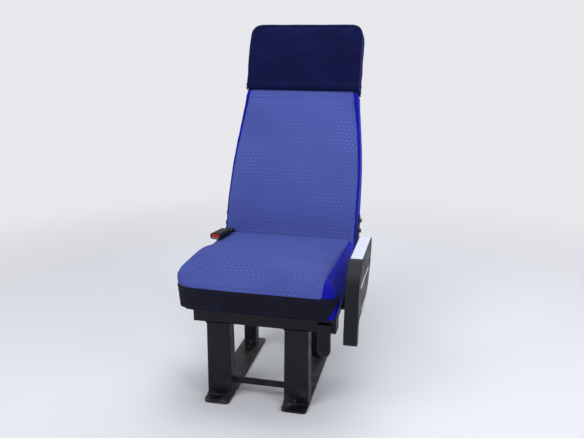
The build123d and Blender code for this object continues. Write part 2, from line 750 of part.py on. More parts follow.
def arm_bracket():
    """Bent plate from the frame out to the armrest's axis, with its pin and the stop peg under the arm."""
    plate_outer = ARM_INNER - ARM_SIDE_GAP
    plate_inner = plate_outer - ARM_BRACKET_PLATE
    low = FRAME_Z - ARM_BRACKET_PLATE
    reach = ARM_ARC_R + STOP_GAP + STOP_PEG_R
    peg_y = STOP_PEG_FROM_FRONT
    peg_z = ARM_ARC_CENTRE_Z - (reach**2 - (peg_y - ARM_ARC_CENTRE) ** 2) ** 0.5
    plate = side_slab(
        [
            (peg_y - PEG_MARGIN, low, PLATE_FOOT_ROUND),
            (ARM_PIVOT + PLATE_FOOT_BEHIND, low, PLATE_FOOT_ROUND),
            (ARM_PIVOT + PLATE_EYE_R, ARM_PIVOT_Z + PLATE_EYE_R, PLATE_EYE_ROUND),
            (ARM_PIVOT - PLATE_EYE_R, ARM_PIVOT_Z + PLATE_EYE_R, PLATE_EYE_ROUND),
            (peg_y - PEG_MARGIN, peg_z + PEG_MARGIN, PLATE_FOOT_ROUND),
        ],
        plate_inner,
        plate_outer,
    )
    tab = block(FRAME_HALF - FRAME_TUBE, plate_inner, peg_y, ARM_PIVOT, low, FRAME_Z)
    pin_end = ARM_INNER + ARM_WIDTH
    pin_place = Pos((plate_outer + pin_end) / 2, ARM_PIVOT, ARM_PIVOT_Z) * Rot(Y=90)
    pin = pin_place * Cylinder(PIN_R, pin_end - plate_outer)
    peg_end = ARM_INNER + ARM_WIDTH / 2
    peg_place = Pos((plate_outer + peg_end) / 2, peg_y, peg_z) * Rot(Y=90)
    peg = peg_place * Cylinder(STOP_PEG_R, peg_end - plate_outer)
    return plate + tab + pin + peg


def recline_handle():
    """Paddle that hangs in front of the cross rail, under the aisle side of the cushion."""
    left = HANDLE_X - HANDLE_WIDTH / 2
    right = HANDLE_X + HANDLE_WIDTH / 2
    return front_slab(
        [
            (left, HANDLE_LOW_Z, HANDLE_ROUND),
            (right, HANDLE_LOW_Z, HANDLE_ROUND),
            (right, HANDLE_TOP_Z, HANDLE_TOP_ROUND),
            (left, HANDLE_TOP_Z, HANDLE_TOP_ROUND),
        ],
        FRONT_POST_START - HANDLE_THICK,
        FRONT_POST_START,
    )


# Buckle


def cushion_top_z(y):
    """Height of the cushion's top behind its crown, at a distance from the seat's front."""
    crown_y = CUSHION_SETBACK + CUSHION_CROWN_BACK
    rear_y = SEAM_FROM_FRONT - CUSHION_REAR_GAP
    peak = CUSHION_CROWN_Z + CUSHION_CROWN_RISE
    return peak + (SEAM_Z - peak) * (y - crown_y) / (rear_y - crown_y)


def buckle_pieces():
    """Buckle that lies on the cushion's window side, its button, and its strap from the seam."""
    middle_y = SEAM_FROM_FRONT - BUCKLE_FROM_SEAM
    rest_z = cushion_top_z(middle_y - BUCKLE_LENGTH / 2) + BUCKLE_REST_GAP
    place = Pos(BUCKLE_X, middle_y, rest_z + BUCKLE_THICK / 2) * Rot(Z=-BUCKLE_TURN)
    body = Box(BUCKLE_WIDTH, BUCKLE_LENGTH, BUCKLE_THICK)
    body = fillet(body.edges().filter_by(Axis.Y), BUCKLE_ROUND)
    button_x = BUCKLE_WIDTH / 2 - BUTTON_RIM
    button_low = BUTTON_UNDER - BUCKLE_THICK / 2
    button_top = BUCKLE_THICK / 2 - BUTTON_OVER
    button_back = (BUTTON_LENGTH - BUCKLE_LENGTH) / 2
    button_zone = block(-button_x, button_x, -BEYOND, button_back, button_low, button_top)
    button = place * only_solid(body & button_zone)
    body = place * only_solid(body - button_zone)
    strap_x = BUCKLE_X + BUCKLE_LENGTH / 2 * sin(radians(BUCKLE_TURN))
    turn = radians(BUCKLE_TURN)
    strap_front = middle_y + BUCKLE_LENGTH / 2 * cos(turn) - STRAP_WIDTH / 2 * sin(turn)
    rear = SEAM_FROM_FRONT - CUSHION_REAR_GAP
    strap_z = rest_z + BUCKLE_THICK / 2
    strap = side_slab(
        [
            (strap_front, strap_z, 0),
            (rear + STRAP_THICK, strap_z, STRAP_BEND + STRAP_THICK),
            (rear + STRAP_THICK, SEAM_Z, 0),
            (rear + STRAP_THICK - STRAP_DROP * tan(LEAN), SEAM_Z - STRAP_DROP, 0),
            (rear - STRAP_DROP * tan(LEAN), SEAM_Z - STRAP_DROP, 0),
            (rear, SEAM_Z, 0),
            (rear, strap_z - STRAP_THICK, STRAP_BEND),
            (strap_front, strap_z - STRAP_THICK, 0),
        ],
        strap_x - STRAP_WIDTH / 2,
        strap_x + STRAP_WIDTH / 2,
    )
    return only_solid(body - strap), button, strap


def write(node, shape):
    """Write one node."""
    export_step(shape, f"parts/{node}.step")


def main():
    """Build every piece and write it."""
    os.makedirs("parts", exist_ok=True)
    sides = (("window", -1, LEG_WINDOW_X), ("aisle", 1, LEG_AISLE_X))
    for name, sign, leg_x in sides:
        write(f"foot_{name}", on_seat(foot(leg_x)))
        write(f"front_post_{name}", on_seat(front_post(leg_x)))
        write(f"rear_post_{name}", on_seat(rear_post(leg_x)))
        write(f"frame_side_{name}", on_seat(frame_side(sign)))
        write(f"side_skirt_{name}", on_seat(side_skirt(sign)))
        write(f"hinge_bracket_{name}", on_seat(hinge_bracket(sign)))
        write(f"hinge_arm_{name}", on_back(hinge_arm(sign)))
    write("front_cross_rail", on_seat(cross_rail(FRONT_POST_START, FRONT_POST_START + FRONT_POST_DEEP)))
    write("rear_cross_rail", on_seat(cross_rail(FRAME_REAR - REAR_POST_DEEP, FRAME_REAR)))
    write("tie_bar", on_seat(tie_bar()))
    write("frame_front", on_seat(frame_front()))
    write("frame_rear", on_seat(frame_rear()))
    write("zigzag_springs", Compound(children=[on_seat(s) for s in springs()]))
    top, window, aisle, valance = cushion_pieces()
    write("cushion", on_seat(top))
    write("cushion_side_window", on_seat(window))
    write("cushion_side_aisle", on_seat(aisle))
    write("front_valance", on_seat(valance))
    pad, back_window, back_aisle, shell = back_pieces()
    write("back_pad", on_back(pad))
    write("back_side_window", on_back(back_window))
    write("back_side_aisle", on_back(back_aisle))
    write("back_shell", on_back(shell))
    write("head_cover", on_back(head_cover()))
    arm_shell, arm_cap, arm_pad = arm_pieces()
    write("armrest_shell", on_seat(arm_shell))
    write("armrest_cap", on_seat(arm_cap))
    write("armrest_pad", on_seat(arm_pad))
    write("armrest_trim", Compound(children=[on_seat(z) for z in trim_zones()]))
    write("armrest_bracket", on_seat(arm_bracket()))
    write("recline_handle", on_seat(recline_handle()))
    buckle, button, strap = buckle_pieces()
    write("buckle", on_seat(buckle))
    write("buckle_button", on_seat(button))
    write("buckle_strap", on_seat(strap))
    print("depth", round(DEPTH, 2), "seat plane x", SEAT_X, "front y", round(FRONT_Y, 2))
    print("recline axis", round(PIVOT_Y, 3), round(PIVOT_Z, 3))
    print("armrest axis", round(FRONT_Y + ARM_PIVOT, 3), ARM_PIVOT_Z)
    first_hole = FRONT_Y + FOOT_START + BOLT_INSET
    last_hole = FRONT_Y + FOOT_START + FOOT_LENGTH - BOLT_INSET
    print("foot holes y", round(first_hole, 3), round(last_hole, 3))


main()
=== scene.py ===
"""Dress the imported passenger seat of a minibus: padding, seams, fabrics, plastics, steel and fasteners.

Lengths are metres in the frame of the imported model. Across means X, with the aisle side at +X. The seat
faces -Y. The seat's own plane of symmetry lies a little off the origin, because of the armrest.
"""

from __future__ import annotations

import json
import logging
from dataclasses import dataclass, field
from enum import Enum
from math import atan2, cos, pi, radians, sin, sqrt, tan, tau
from typing import Callable, Sequence

import bmesh
import bpy
from mathutils import Matrix, Vector, noise
from mathutils.bvhtree import BVHTree
from mathutils.kdtree import KDTree


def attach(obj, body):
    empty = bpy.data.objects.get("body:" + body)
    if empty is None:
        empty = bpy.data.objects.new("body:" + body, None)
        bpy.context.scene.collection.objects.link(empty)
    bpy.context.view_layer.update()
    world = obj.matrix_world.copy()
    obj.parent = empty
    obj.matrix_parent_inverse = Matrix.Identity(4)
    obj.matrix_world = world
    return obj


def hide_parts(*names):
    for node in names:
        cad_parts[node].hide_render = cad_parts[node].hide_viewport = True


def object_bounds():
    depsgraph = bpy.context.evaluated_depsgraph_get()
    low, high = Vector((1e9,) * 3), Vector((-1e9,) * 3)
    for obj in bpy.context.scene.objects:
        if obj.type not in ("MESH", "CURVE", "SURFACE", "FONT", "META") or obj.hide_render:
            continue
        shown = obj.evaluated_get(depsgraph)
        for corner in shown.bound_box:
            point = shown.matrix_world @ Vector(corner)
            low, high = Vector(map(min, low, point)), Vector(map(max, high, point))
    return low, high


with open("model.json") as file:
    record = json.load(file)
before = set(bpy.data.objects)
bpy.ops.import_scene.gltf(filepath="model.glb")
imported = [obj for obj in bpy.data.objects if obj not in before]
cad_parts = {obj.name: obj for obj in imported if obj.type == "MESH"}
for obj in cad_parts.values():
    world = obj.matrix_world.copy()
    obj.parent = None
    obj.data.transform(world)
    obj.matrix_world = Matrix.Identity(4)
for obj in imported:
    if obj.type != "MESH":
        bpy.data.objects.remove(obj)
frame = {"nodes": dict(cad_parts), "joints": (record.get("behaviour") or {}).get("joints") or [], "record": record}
CAD_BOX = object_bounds()
LOG = logging.getLogger("seat")

# Name of the map that lies along each piece of cloth
CLOTH_MAP = "cloth"
# Scale of a wave texture whose ribs lie one unit apart
RIB_SCALE = 0.318
# Distance under which corners are welded together
WELD_DISTANCE = 1e-6
# Distance from stitch to stitch, share of it that the thread covers, and thickness of the thread
STITCH_PITCH = 0.0055
STITCH_SHARE = 0.78
STITCH_THICK = 0.0009

Colour = tuple[float, float, float, float]
Socket = bpy.types.NodeSocket
Material = bpy.types.Material
Shape = bmesh.types.BMesh
Value = "float | Sequence[float] | Socket"
Point = tuple[float, float]
# A point and its outward normal, or a ray's start and direction
Hit = tuple[Vector, Vector]
Zone = Callable[[Vector], bool]
Freedom = Callable[[Vector, Vector], float]


class Body(str, Enum):
    """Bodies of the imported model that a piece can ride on."""

    BASE = "base"
    BACKREST = "backrest"
    ARMREST = "armrest"


class Slot(str, Enum):
    """Material slots of the record."""

    PAINT = "frame_paint"
    BRIGHT_STEEL = "bright_steel"
    SPRING_STEEL = "spring_steel"
    SEAT_FABRIC = "seat_fabric"
    SIDE_FABRIC = "side_fabric"
    DARK_FABRIC = "dark_fabric"
    VELOUR = "velour"
    BLACK_PLASTIC = "black_plastic"
    GREY_PLASTIC = "grey_plastic"
    RED_PLASTIC = "red_plastic"
    WEBBING = "webbing"


class Axis(Enum):
    """Directions that a round piece can point in."""

    X = (1, 0, 0)
    Z = (0, 0, 1)


def srgb(red: int, green: int, blue: int) -> Colour:
    """Turn display values from 0 to 255 into a linear colour.

    Args:
        red: Red as shown on a display.
        green: Green as shown on a display.
        blue: Blue as shown on a display.

    Returns:
        The linear colour with an alpha of 1.
    """
    shares = [value / 255 for value in (red, green, blue)]
    linear = [s / 12.92 if s <= 0.04045 else ((s + 0.055) / 1.055) ** 2.4 for s in shares]
    return (linear[0], linear[1], linear[2], 1.0)


class Tree:
    """Node tree that is built step by step."""

    def __init__(self, tree: bpy.types.NodeTree) -> None:
        """Start from a tree as it stands."""
        self.nodes = tree.nodes
        self.links = tree.links

    def feed(self, target: Socket, value: Value) -> None:
        """Link a socket to an input, or set the input to a plain value.

        Args:
            target: The input.
            value: Value or socket.
        """
        if isinstance(value, bpy.types.NodeSocket):
            self.links.new(value, target)
        else:
            target.default_value = value

    def give(self, node: bpy.types.Node, **inputs: Value) -> None:
        """Feed inputs of a node by name. An underscore in a name stands for a space."""
        for name, value in inputs.items():
            self.feed(node.inputs[name.replace("_", " ")], value)

    def node(self, kind: str, **inputs: Value) -> bpy.types.Node:
        """Add a node.

        Args:
            kind: Its type, after the word ShaderNode.
            inputs: Value or socket for each input.

        Returns:
            The node.
        """
        node = self.nodes.new("ShaderNode" + kind)
        self.give(node, **inputs)
        return node

    def math(self, operation: str, first: Value, second: Value) -> Socket:
        """One step of arithmetic.

        Args:
            operation: Name of the operation.
            first: First operand.
            second: Second operand.

        Returns:
            The result.
        """
        node = self.node("Math")
        node.operation = operation
        self.feed(node.inputs[0], first)
        self.feed(node.inputs[1], second)
        return node.outputs[0]

    def show(self, share: Socket, first: Socket, second: Socket, output: str) -> None:
        """Mix two shaders and link them to the tree's output.

        Args:
            share: Share of the second shader.
            first: First shader.
            second: Second shader.
            output: Type of the output node.
        """
        blend = self.node("MixShader")
        for target, source in zip(blend.inputs, (share, first, second)):
            self.links.new(source, target)
        end = next(n for n in self.nodes if n.type == output)
        self.links.new(blend.outputs[0], end.inputs["Surface"])


class Recipe(Tree):
    """Node tree of one material."""

    def __init__(self, name: str) -> None:
        """Start a material that has only its shader.

        Args:
            name: Name of the material.
        """
        self.material = bpy.data.materials.new(name)
        self.material.use_nodes = True
        super().__init__(self.material.node_tree)
        self.shader = self.nodes["Principled BSDF"]

    def set(self, **inputs: Value) -> None:
        """Set inputs of the shader. An underscore in a name stands for a space."""
        self.give(self.shader, **inputs)

    def mapped(self, vector: Socket, scale: Sequence[float], turn: Sequence[float] = (0, 0, 0)) -> Socket:
        """Coordinates that are turned by degrees and then scaled."""
        turned_by = [radians(angle) for angle in turn]
        return self.node("Mapping", Vector=vector, Scale=scale, Rotation=turned_by).outputs["Vector"]

    def place(self, scale: Sequence[float] = (1, 1, 1), turn: Sequence[float] = (0, 0, 0)) -> Socket:
        """Object coordinates that are turned by degrees and then scaled."""
        return self.mapped(self.node("TexCoord").outputs["Object"], scale, turn)

    def cloth_map(self, scale: float = 1.0) -> Socket:
        """Coordinates along the cloth, from the piece's own map in metres.

        Args:
            scale: Factor along each axis.

        Returns:
            The coordinates.
        """
        source = self.node("UVMap")
        source.uv_map = CLOTH_MAP
        return self.mapped(source.outputs["UV"], (scale, scale, scale))

    def noise(self, vector: Socket, scale: float, detail: float) -> Socket:
        """Soft random value from 0 to 1, with some cells in each metre and some octaves."""
        return self.node("TexNoise", Vector=vector, Scale=scale, Detail=detail).outputs["Fac"]

    def cells(self, vector: Socket, scale: float) -> Socket:
        """Distance to the nearest of many scattered points, as a share of a cell."""
        return self.node("TexVoronoi", Vector=vector, Scale=scale).outputs["Distance"]

    def ribs(self, vector: Socket, pitch: float, direction: str) -> Socket:
        """Even ribs across one direction.

        Args:
            vector: Coordinates.
            pitch: Distance from rib to rib.
            direction: X, Y or Z.

        Returns:
            The height of the ribs.
        """
        node = self.node("TexWave", Vector=vector, Scale=RIB_SCALE / pitch)
        node.bands_direction = direction
        return node.outputs["Fac"]

    def dashes(self, pitch: float) -> Socket:
        """Staggered dashes along the cloth: 1 on them and 0 between them.

        Args:
            pitch: Distance from dash to dash.

        Returns:
            The mask.
        """
        brick = 0.5
        gaps = self.node(
            "TexBrick", Vector=self.cloth_map(brick / pitch), Scale=1.0, Brick_Width=brick, Row_Height=0.4,
            Mortar_Size=0.125, Mortar_Smooth=0.25,
        )
        return self.math("SUBTRACT", 1.0, gaps.outputs["Fac"])

    def stretch(self, value: Value, low: float, high: float, out_low: float, out_high: float) -> Socket:
        """Map a range of values to another, smoothly and without passing its ends.

        Args:
            value: Value to map.
            low: Start of the range.
            high: End of the range.
            out_low: Result at the start.
            out_high: Result at the end.

        Returns:
            The mapped value.
        """
        node = self.node("MapRange", From_Min=low, From_Max=high, To_Min=out_low, To_Max=out_high)
        node.interpolation_type = "SMOOTHSTEP"
        self.feed(node.inputs["Value"], value)
        return node.outputs["Result"]

    def mix(self, share: Value, first: Value, second: Value) -> Socket:
        """Mix two colours.

        Args:
            share: Share of the second colour.
            first: First colour.
            second: Second colour.

        Returns:
            The mixed colour.
        """
        node = self.node("Mix")
        node.data_type = "RGBA"
        for index, value in ((0, share), (6, first), (7, second)):
            self.feed(node.inputs[index], value)
        return node.outputs[2]

    def bump(self, *layers: tuple[Socket, float, float]) -> None:
        """Give the shader a bumpy surface.

        Args:
            layers: Height, strength and depth in metres of each layer, coarse first.
        """
        normal = None
        for height, strength, depth in layers:
            node = self.node("Bump", Strength=strength, Distance=depth, Height=height)
            if normal is not None:
                self.links.new(normal, node.inputs["Normal"])
            normal = node.outputs["Normal"]
        self.links.new(normal, self.shader.inputs["Normal"])


@dataclass(frozen=True)
class Jacquard:
    """Light seat fabric with small staggered dashes woven into it."""

    ground: Colour = srgb(76, 89, 163)
    dash: Colour = srgb(96, 110, 188)
    shade: Colour = srgb(60, 71, 142)
    dash_pitch: float = 0.0155
    yarn_pitch: float = 0.0016

    def material(self) -> Material:
        """Build the material.

        Returns:
            The material.
        """
        recipe = Recipe("seat_jacquard")
        place = recipe.place()
        cloth = recipe.cloth_map()
        marks = recipe.dashes(self.dash_pitch)
        patches = recipe.noise(place, 9.0, 3.0)
        faint = recipe.stretch(patches, 0.35, 0.7, 0.05, 0.5)
        soiling = recipe.stretch(recipe.noise(place, 3.5, 4.0), 0.35, 0.7, 0.0, 0.45)
        worn = recipe.mix(soiling, self.ground, self.shade)
        flecks = recipe.stretch(recipe.noise(cloth, 900.0, 1.0), 0.3, 0.7, 0.0, 0.35)
        grained = recipe.mix(flecks, worn, self.shade)
        colour = recipe.mix(recipe.math("MULTIPLY", marks, faint), grained, self.dash)
        yarn = recipe.math("MAXIMUM", *(recipe.ribs(cloth, self.yarn_pitch, way) for way in "XY"))
        recipe.set(Base_Color=colour, Roughness=0.88, Specular_IOR_Level=0.15)
        recipe.set(Sheen_Weight=0.12, Sheen_Roughness=0.45, Sheen_Tint=srgb(150, 165, 255))
        recipe.bump((patches, 0.25, 0.004), (marks, 0.4, 0.0005), (yarn, 0.45, 0.0005))
        return recipe.material


@dataclass(frozen=True)
class SideCloth:
    """Strong blue cloth of the side panels."""

    ground: Colour = srgb(9, 12, 170)
    light: Colour = srgb(20, 28, 206)
    deep: Colour = srgb(4, 5, 122)

    def material(self) -> Material:
        """Build the material.

        Returns:
            The material.
        """
        recipe = Recipe("side_cloth")
        patches = recipe.noise(recipe.place(), 22.0, 4.0)
        mottled = recipe.mix(recipe.stretch(patches, 0.35, 0.65, 0.0, 0.8), self.deep, self.ground)
        flecks = recipe.noise(recipe.place((260, 260, 90)), 1.0, 2.0)
        colour = recipe.mix(recipe.stretch(flecks, 0.52, 0.72, 0.0, 0.7), mottled, self.light)
        yarn = recipe.noise(recipe.place((700, 700, 240)), 1.0, 1.0)
        recipe.set(Base_Color=colour, Roughness=0.8, Specular_IOR_Level=0.15)
        recipe.set(Sheen_Weight=0.35, Sheen_Roughness=0.4, Sheen_Tint=srgb(120, 130, 255))
        recipe.bump((patches, 0.2, 0.003), (yarn, 0.6, 0.0006))
        return recipe.material


@dataclass(frozen=True)
class Velour:
    """Dark pile cloth of the head cover, with patches where the pile lies another way."""

    ground: Colour = srgb(10, 13, 54)
    brushed: Colour = srgb(18, 22, 74)
    sheen: Colour = srgb(56, 64, 180)

    def material(self) -> Material:
        """Build the material.

        Returns:
            The material.
        """
        recipe = Recipe("head_velour")
        strokes = recipe.noise(recipe.place((9, 20, 14)), 1.0, 5.0)
        colour = recipe.mix(recipe.stretch(strokes, 0.36, 0.74, 0.0, 0.5), self.ground, self.brushed)
        pile = recipe.noise(recipe.place(), 1300.0, 1.0)
        recipe.set(Base_Color=colour, Roughness=0.92, Specular_IOR_Level=0.1)
        recipe.set(Sheen_Weight=0.38, Sheen_Roughness=0.32, Sheen_Tint=self.sheen)
        recipe.bump((strokes, 0.15, 0.003), (pile, 0.5, 0.0006))
        return recipe.material


@dataclass(frozen=True)
class PlainCloth:
    """Dark flat-woven cloth, webbing or thread."""

    name: str = "dark_cloth"
    ground: Colour = srgb(10, 11, 25)
    light: Colour = srgb(22, 24, 42)
    yarn_pitch: float = 0.0018

    def material(self) -> Material:
        """Build the material.

        Returns:
            The material.
        """
        recipe = Recipe(self.name)
        place = recipe.place()
        patches = recipe.noise(place, 14.0, 4.0)
        flecks = recipe.noise(place, 1.2 / self.yarn_pitch, 2.0)
        tone = recipe.mix(recipe.stretch(patches, 0.4, 0.7, 0.0, 0.5), self.ground, self.light)
        colour = recipe.mix(recipe.stretch(flecks, 0.5, 0.75, 0.0, 0.6), tone, self.light)
        recipe.set(Base_Color=colour, Roughness=0.9, Specular_IOR_Level=0.12)
        recipe.set(Sheen_Weight=0.1, Sheen_Roughness=0.5)
        yarn = recipe.noise(place, 1.0 / self.yarn_pitch, 1.0)
        recipe.bump((patches, 0.2, 0.003), (yarn, 0.6, 0.0007))
        return recipe.material


@dataclass(frozen=True)
class Plastic:
    """Moulded plastic with a fine leather-like grain, and scuffs that are a little lighter."""

    name: str
    ground: Colour
    scuff: Colour
    roughness: float = 0.48
    grain: float = 900.0
    grain_depth: float = 0.00025
    wear: float = 0.35

    def material(self) -> Material:
        """Build the material.

        Returns:
            The material.
        """
        recipe = Recipe(self.name)
        place = recipe.place()
        grain = recipe.cells(place, self.grain)
        scratches = recipe.noise(recipe.place((60, 9, 45), (12, 0, 8)), 1.0, 6.0)
        patches = recipe.noise(place, 17.0, 4.0)
        lines = recipe.stretch(scratches, 0.56, 0.7, 0.0, 1.0)
        worn = recipe.math("MULTIPLY", lines, recipe.stretch(patches, 0.4, 0.65, 0.0, self.wear))
        rough = recipe.stretch(patches, 0.3, 0.7, self.roughness - 0.07, self.roughness + 0.12)
        recipe.set(Base_Color=recipe.mix(worn, self.ground, self.scuff), Roughness=rough)
        recipe.set(Specular_IOR_Level=0.24)
        recipe.bump((patches, 0.1, 0.002), (grain, 0.5, self.grain_depth))
        return recipe.material


@dataclass(frozen=True)
class FramePaint:
    """Satin black coating on the steel frame, dusty and scuffed low down by the floor."""

    ground: Colour = srgb(11, 11, 18)
    dust: Colour = srgb(68, 67, 72)
    bare: Colour = srgb(120, 116, 112)
    scuff_height: float = 0.075

    def material(self) -> Material:
        """Build the material.

        Returns:
            The material.
        """
        recipe = Recipe("frame_paint")
        place = recipe.place()
        patches = recipe.noise(place, 24.0, 5.0)
        height = recipe.node("SeparateXYZ", Vector=place).outputs["Z"]
        low = recipe.stretch(height, 0.0, self.scuff_height, 0.75, 0.08)
        dusty = recipe.math("MULTIPLY", recipe.stretch(patches, 0.42, 0.72, 0.0, 1.0), low)
        tone = recipe.mix(dusty, self.ground, self.dust)
        spots = recipe.stretch(recipe.noise(place, 75.0, 6.0), 0.64, 0.69, 0.0, 1.0)
        chips = recipe.math("MULTIPLY", spots, low)
        recipe.set(Base_Color=recipe.mix(chips, tone, self.bare), Specular_IOR_Level=0.25)
        recipe.set(Roughness=recipe.stretch(patches, 0.3, 0.7, 0.36, 0.58))
        recipe.bump((recipe.noise(place, 260.0, 3.0), 0.25, 0.0006))
        return recipe.material


@dataclass(frozen=True)
class Steel:
    """Bare steel, brushed along one direction."""

    name: str
    ground: Colour
    stain: Colour
    roughness: float
    brush: tuple[float, float, float] = (900.0, 18.0, 900.0)

    def material(self) -> Material:
        """Build the material.

        Returns:
            The material.
        """
        recipe = Recipe(self.name)
        lines = recipe.noise(recipe.place(self.brush), 1.0, 2.0)
        stained = recipe.stretch(recipe.noise(recipe.place(), 40.0, 4.0), 0.45, 0.75, 0.0, 0.5)
        rough = recipe.stretch(lines, 0.3, 0.7, self.roughness - 0.08, self.roughness + 0.14)
        recipe.set(Base_Color=recipe.mix(stained, self.ground, self.stain), Metallic=1.0, Roughness=rough)
        recipe.bump((lines, 0.15, 0.0002))
        return recipe.material


class Wardrobe:
    """Every finish of the seat, one material each."""

    def __init__(self) -> None:
        """Build the materials."""
        pale = (srgb(212, 217, 232), srgb(150, 150, 158))
        red = (srgb(196, 34, 30), srgb(226, 90, 80))
        finishes = {
            Slot.PAINT: FramePaint(),
            Slot.BRIGHT_STEEL: Steel("bright_steel", srgb(226, 230, 238), srgb(176, 180, 190), 0.24),
            Slot.SPRING_STEEL: Steel("spring_steel", srgb(96, 96, 99), srgb(66, 60, 56), 0.42),
            Slot.SEAT_FABRIC: Jacquard(),
            Slot.SIDE_FABRIC: SideCloth(),
            Slot.DARK_FABRIC: PlainCloth(),
            Slot.VELOUR: Velour(),
            Slot.BLACK_PLASTIC: Plastic("black_plastic", srgb(13, 14, 24), srgb(46, 48, 62)),
            Slot.GREY_PLASTIC: Plastic("grey_plastic", *pale, 0.42, 700.0, 0.00015, 0.3),
            Slot.RED_PLASTIC: Plastic("red_button", *red, 0.3, 600.0, 0.0001),
            Slot.WEBBING: PlainCloth("belt_webbing", srgb(18, 18, 24), srgb(40, 40, 50), 0.0022),
        }
        self.by_slot = {slot: finish.material() for slot, finish in finishes.items()}
        self.thread = PlainCloth("thread", srgb(34, 36, 84), srgb(62, 66, 130), 0.0006).material()
        pale_blue = (srgb(74, 82, 160), srgb(110, 120, 200))
        self.pale_thread = PlainCloth("pale_thread", *pale_blue, 0.0006).material()
        zinc = (srgb(168, 168, 164), srgb(120, 112, 96))
        self.zinc = Steel("zinc_plate", *zinc, 0.38, (500.0, 500.0, 500.0)).material()
        self.underlay = PlainCloth("underlay_felt", srgb(58, 58, 62), srgb(96, 94, 94), 0.003).material()

    def of(self, slot: Slot) -> Material:
        """Material of a slot."""
        return self.by_slot[slot]


# Shapes


def to_object(shape: Shape, name: str, *finishes: Material, sharp: float = 180.0) -> bpy.types.Object:
    """Turn a shape into an object at the origin, with its faces pointing outwards.

    Args:
        shape: Shape in its place. It is freed.
        name: Name of the piece.
        finishes: Materials, in the order of the faces' material numbers.
        sharp: Edges that turn more than this many degrees stay sharp.

    Returns:
        The object.
    """
    bmesh.ops.recalc_face_normals(shape, faces=shape.faces[:])
    mesh = bpy.data.meshes.new(name)
    shape.to_mesh(mesh)
    shape.free()
    for finish in finishes:
        mesh.materials.append(finish)
    mesh.shade_smooth()
    if sharp < 180:
        mesh.set_sharp_from_angle(angle=radians(sharp))
    piece = bpy.data.objects.new(name, mesh)
    bpy.context.scene.collection.objects.link(piece)
    return piece


def settle(piece: bpy.types.Object, body: Body, slot: Slot, *nodes: str) -> None:
    """Fasten a finished piece to its body, hide the CAD nodes that it replaces and log it.

    Args:
        piece: The piece in its place.
        body: Body that it rides on.
        slot: Not used.
        nodes: CAD nodes that it replaces.
    """
    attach(piece, body.value)
    if nodes:
        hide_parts(*nodes)
    LOG.info("%s rides on %s, %d faces", piece.name, body.value, len(piece.data.polygons))


def copy_nodes(*names: str) -> Shape:
    """Welded copy of one or more CAD nodes.

    Args:
        names: The nodes.

    Returns:
        One shape with all of them.
    """
    shape = bmesh.new()
    for name in names:
        shape.from_mesh(frame["nodes"][name].data)
    bmesh.ops.remove_doubles(shape, verts=shape.verts[:], dist=2e-5)
    return shape


def evaluated(piece: bpy.types.Object) -> bpy.types.Mesh:
    """New mesh of a piece with its modifiers applied."""
    graph = bpy.context.evaluated_depsgraph_get()
    return bpy.data.meshes.new_from_object(piece.evaluated_get(graph))


def taken(piece: bpy.types.Object) -> Shape:
    """Shape of a piece with its modifiers applied. The piece is removed.

    Args:
        piece: The piece.

    Returns:
        The shape.
    """
    mesh = evaluated(piece)
    shape = bmesh.new()
    shape.from_mesh(mesh)
    bpy.data.objects.remove(piece)
    bpy.data.meshes.remove(mesh)
    return shape


def remeshed(shape: Shape, voxel: float) -> Shape:
    """Even quads over the outside of closed shells.

    Args:
        shape: The shells. They are freed.
        voxel: Size of the quads.

    Returns:
        The new shape.
    """
    piece = to_object(shape, "remesh_source")
    modifier = piece.modifiers.new("remesh", "REMESH")
    modifier.mode = "VOXEL"
    modifier.voxel_size = voxel
    modifier.use_smooth_shade = True
    return taken(piece)


def largest_shell(shape: Shape) -> None:
    """Delete every separate shell of a shape but the one with the most faces.

    Args:
        shape: The shape.
    """
    left = set(shape.faces)
    shells: list[list[bmesh.types.BMFace]] = []
    while left:
        stack = [left.pop()]
        shell = []
        while stack:
            face = stack.pop()
            shell.append(face)
            for edge in face.edges:
                for other in edge.link_faces:
                    if other in left:
                        left.remove(other)
                        stack.append(other)
        shells.append(shell)
    shells.sort(key=len, reverse=True)
    spare = [face for shell in shells[1:] for face in shell]
    bmesh.ops.delete(shape, geom=spare, context="FACES")


def soften(shape: Shape, passes: int) -> None:
    """Smooth every vertex of a shape some times."""
    for _ in range(passes):
        bmesh.ops.smooth_vert(
            shape, verts=shape.verts[:], factor=0.5, use_axis_x=True, use_axis_y=True, use_axis_z=True
        )


def refine(shape: Shape) -> None:
    """Cut every quad into four along a smooth surface."""
    bmesh.ops.subdivide_edges(shape, edges=shape.edges[:], cuts=1, use_grid_fill=True, smooth=0.6)
    shape.normal_update()


def ramp(value: float, low: float, high: float) -> float:
    """Smooth step from 0 at low to 1 at high."""
    share = min(1.0, max(0.0, (value - low) / (high - low)))
    return share * share * (3 - 2 * share)


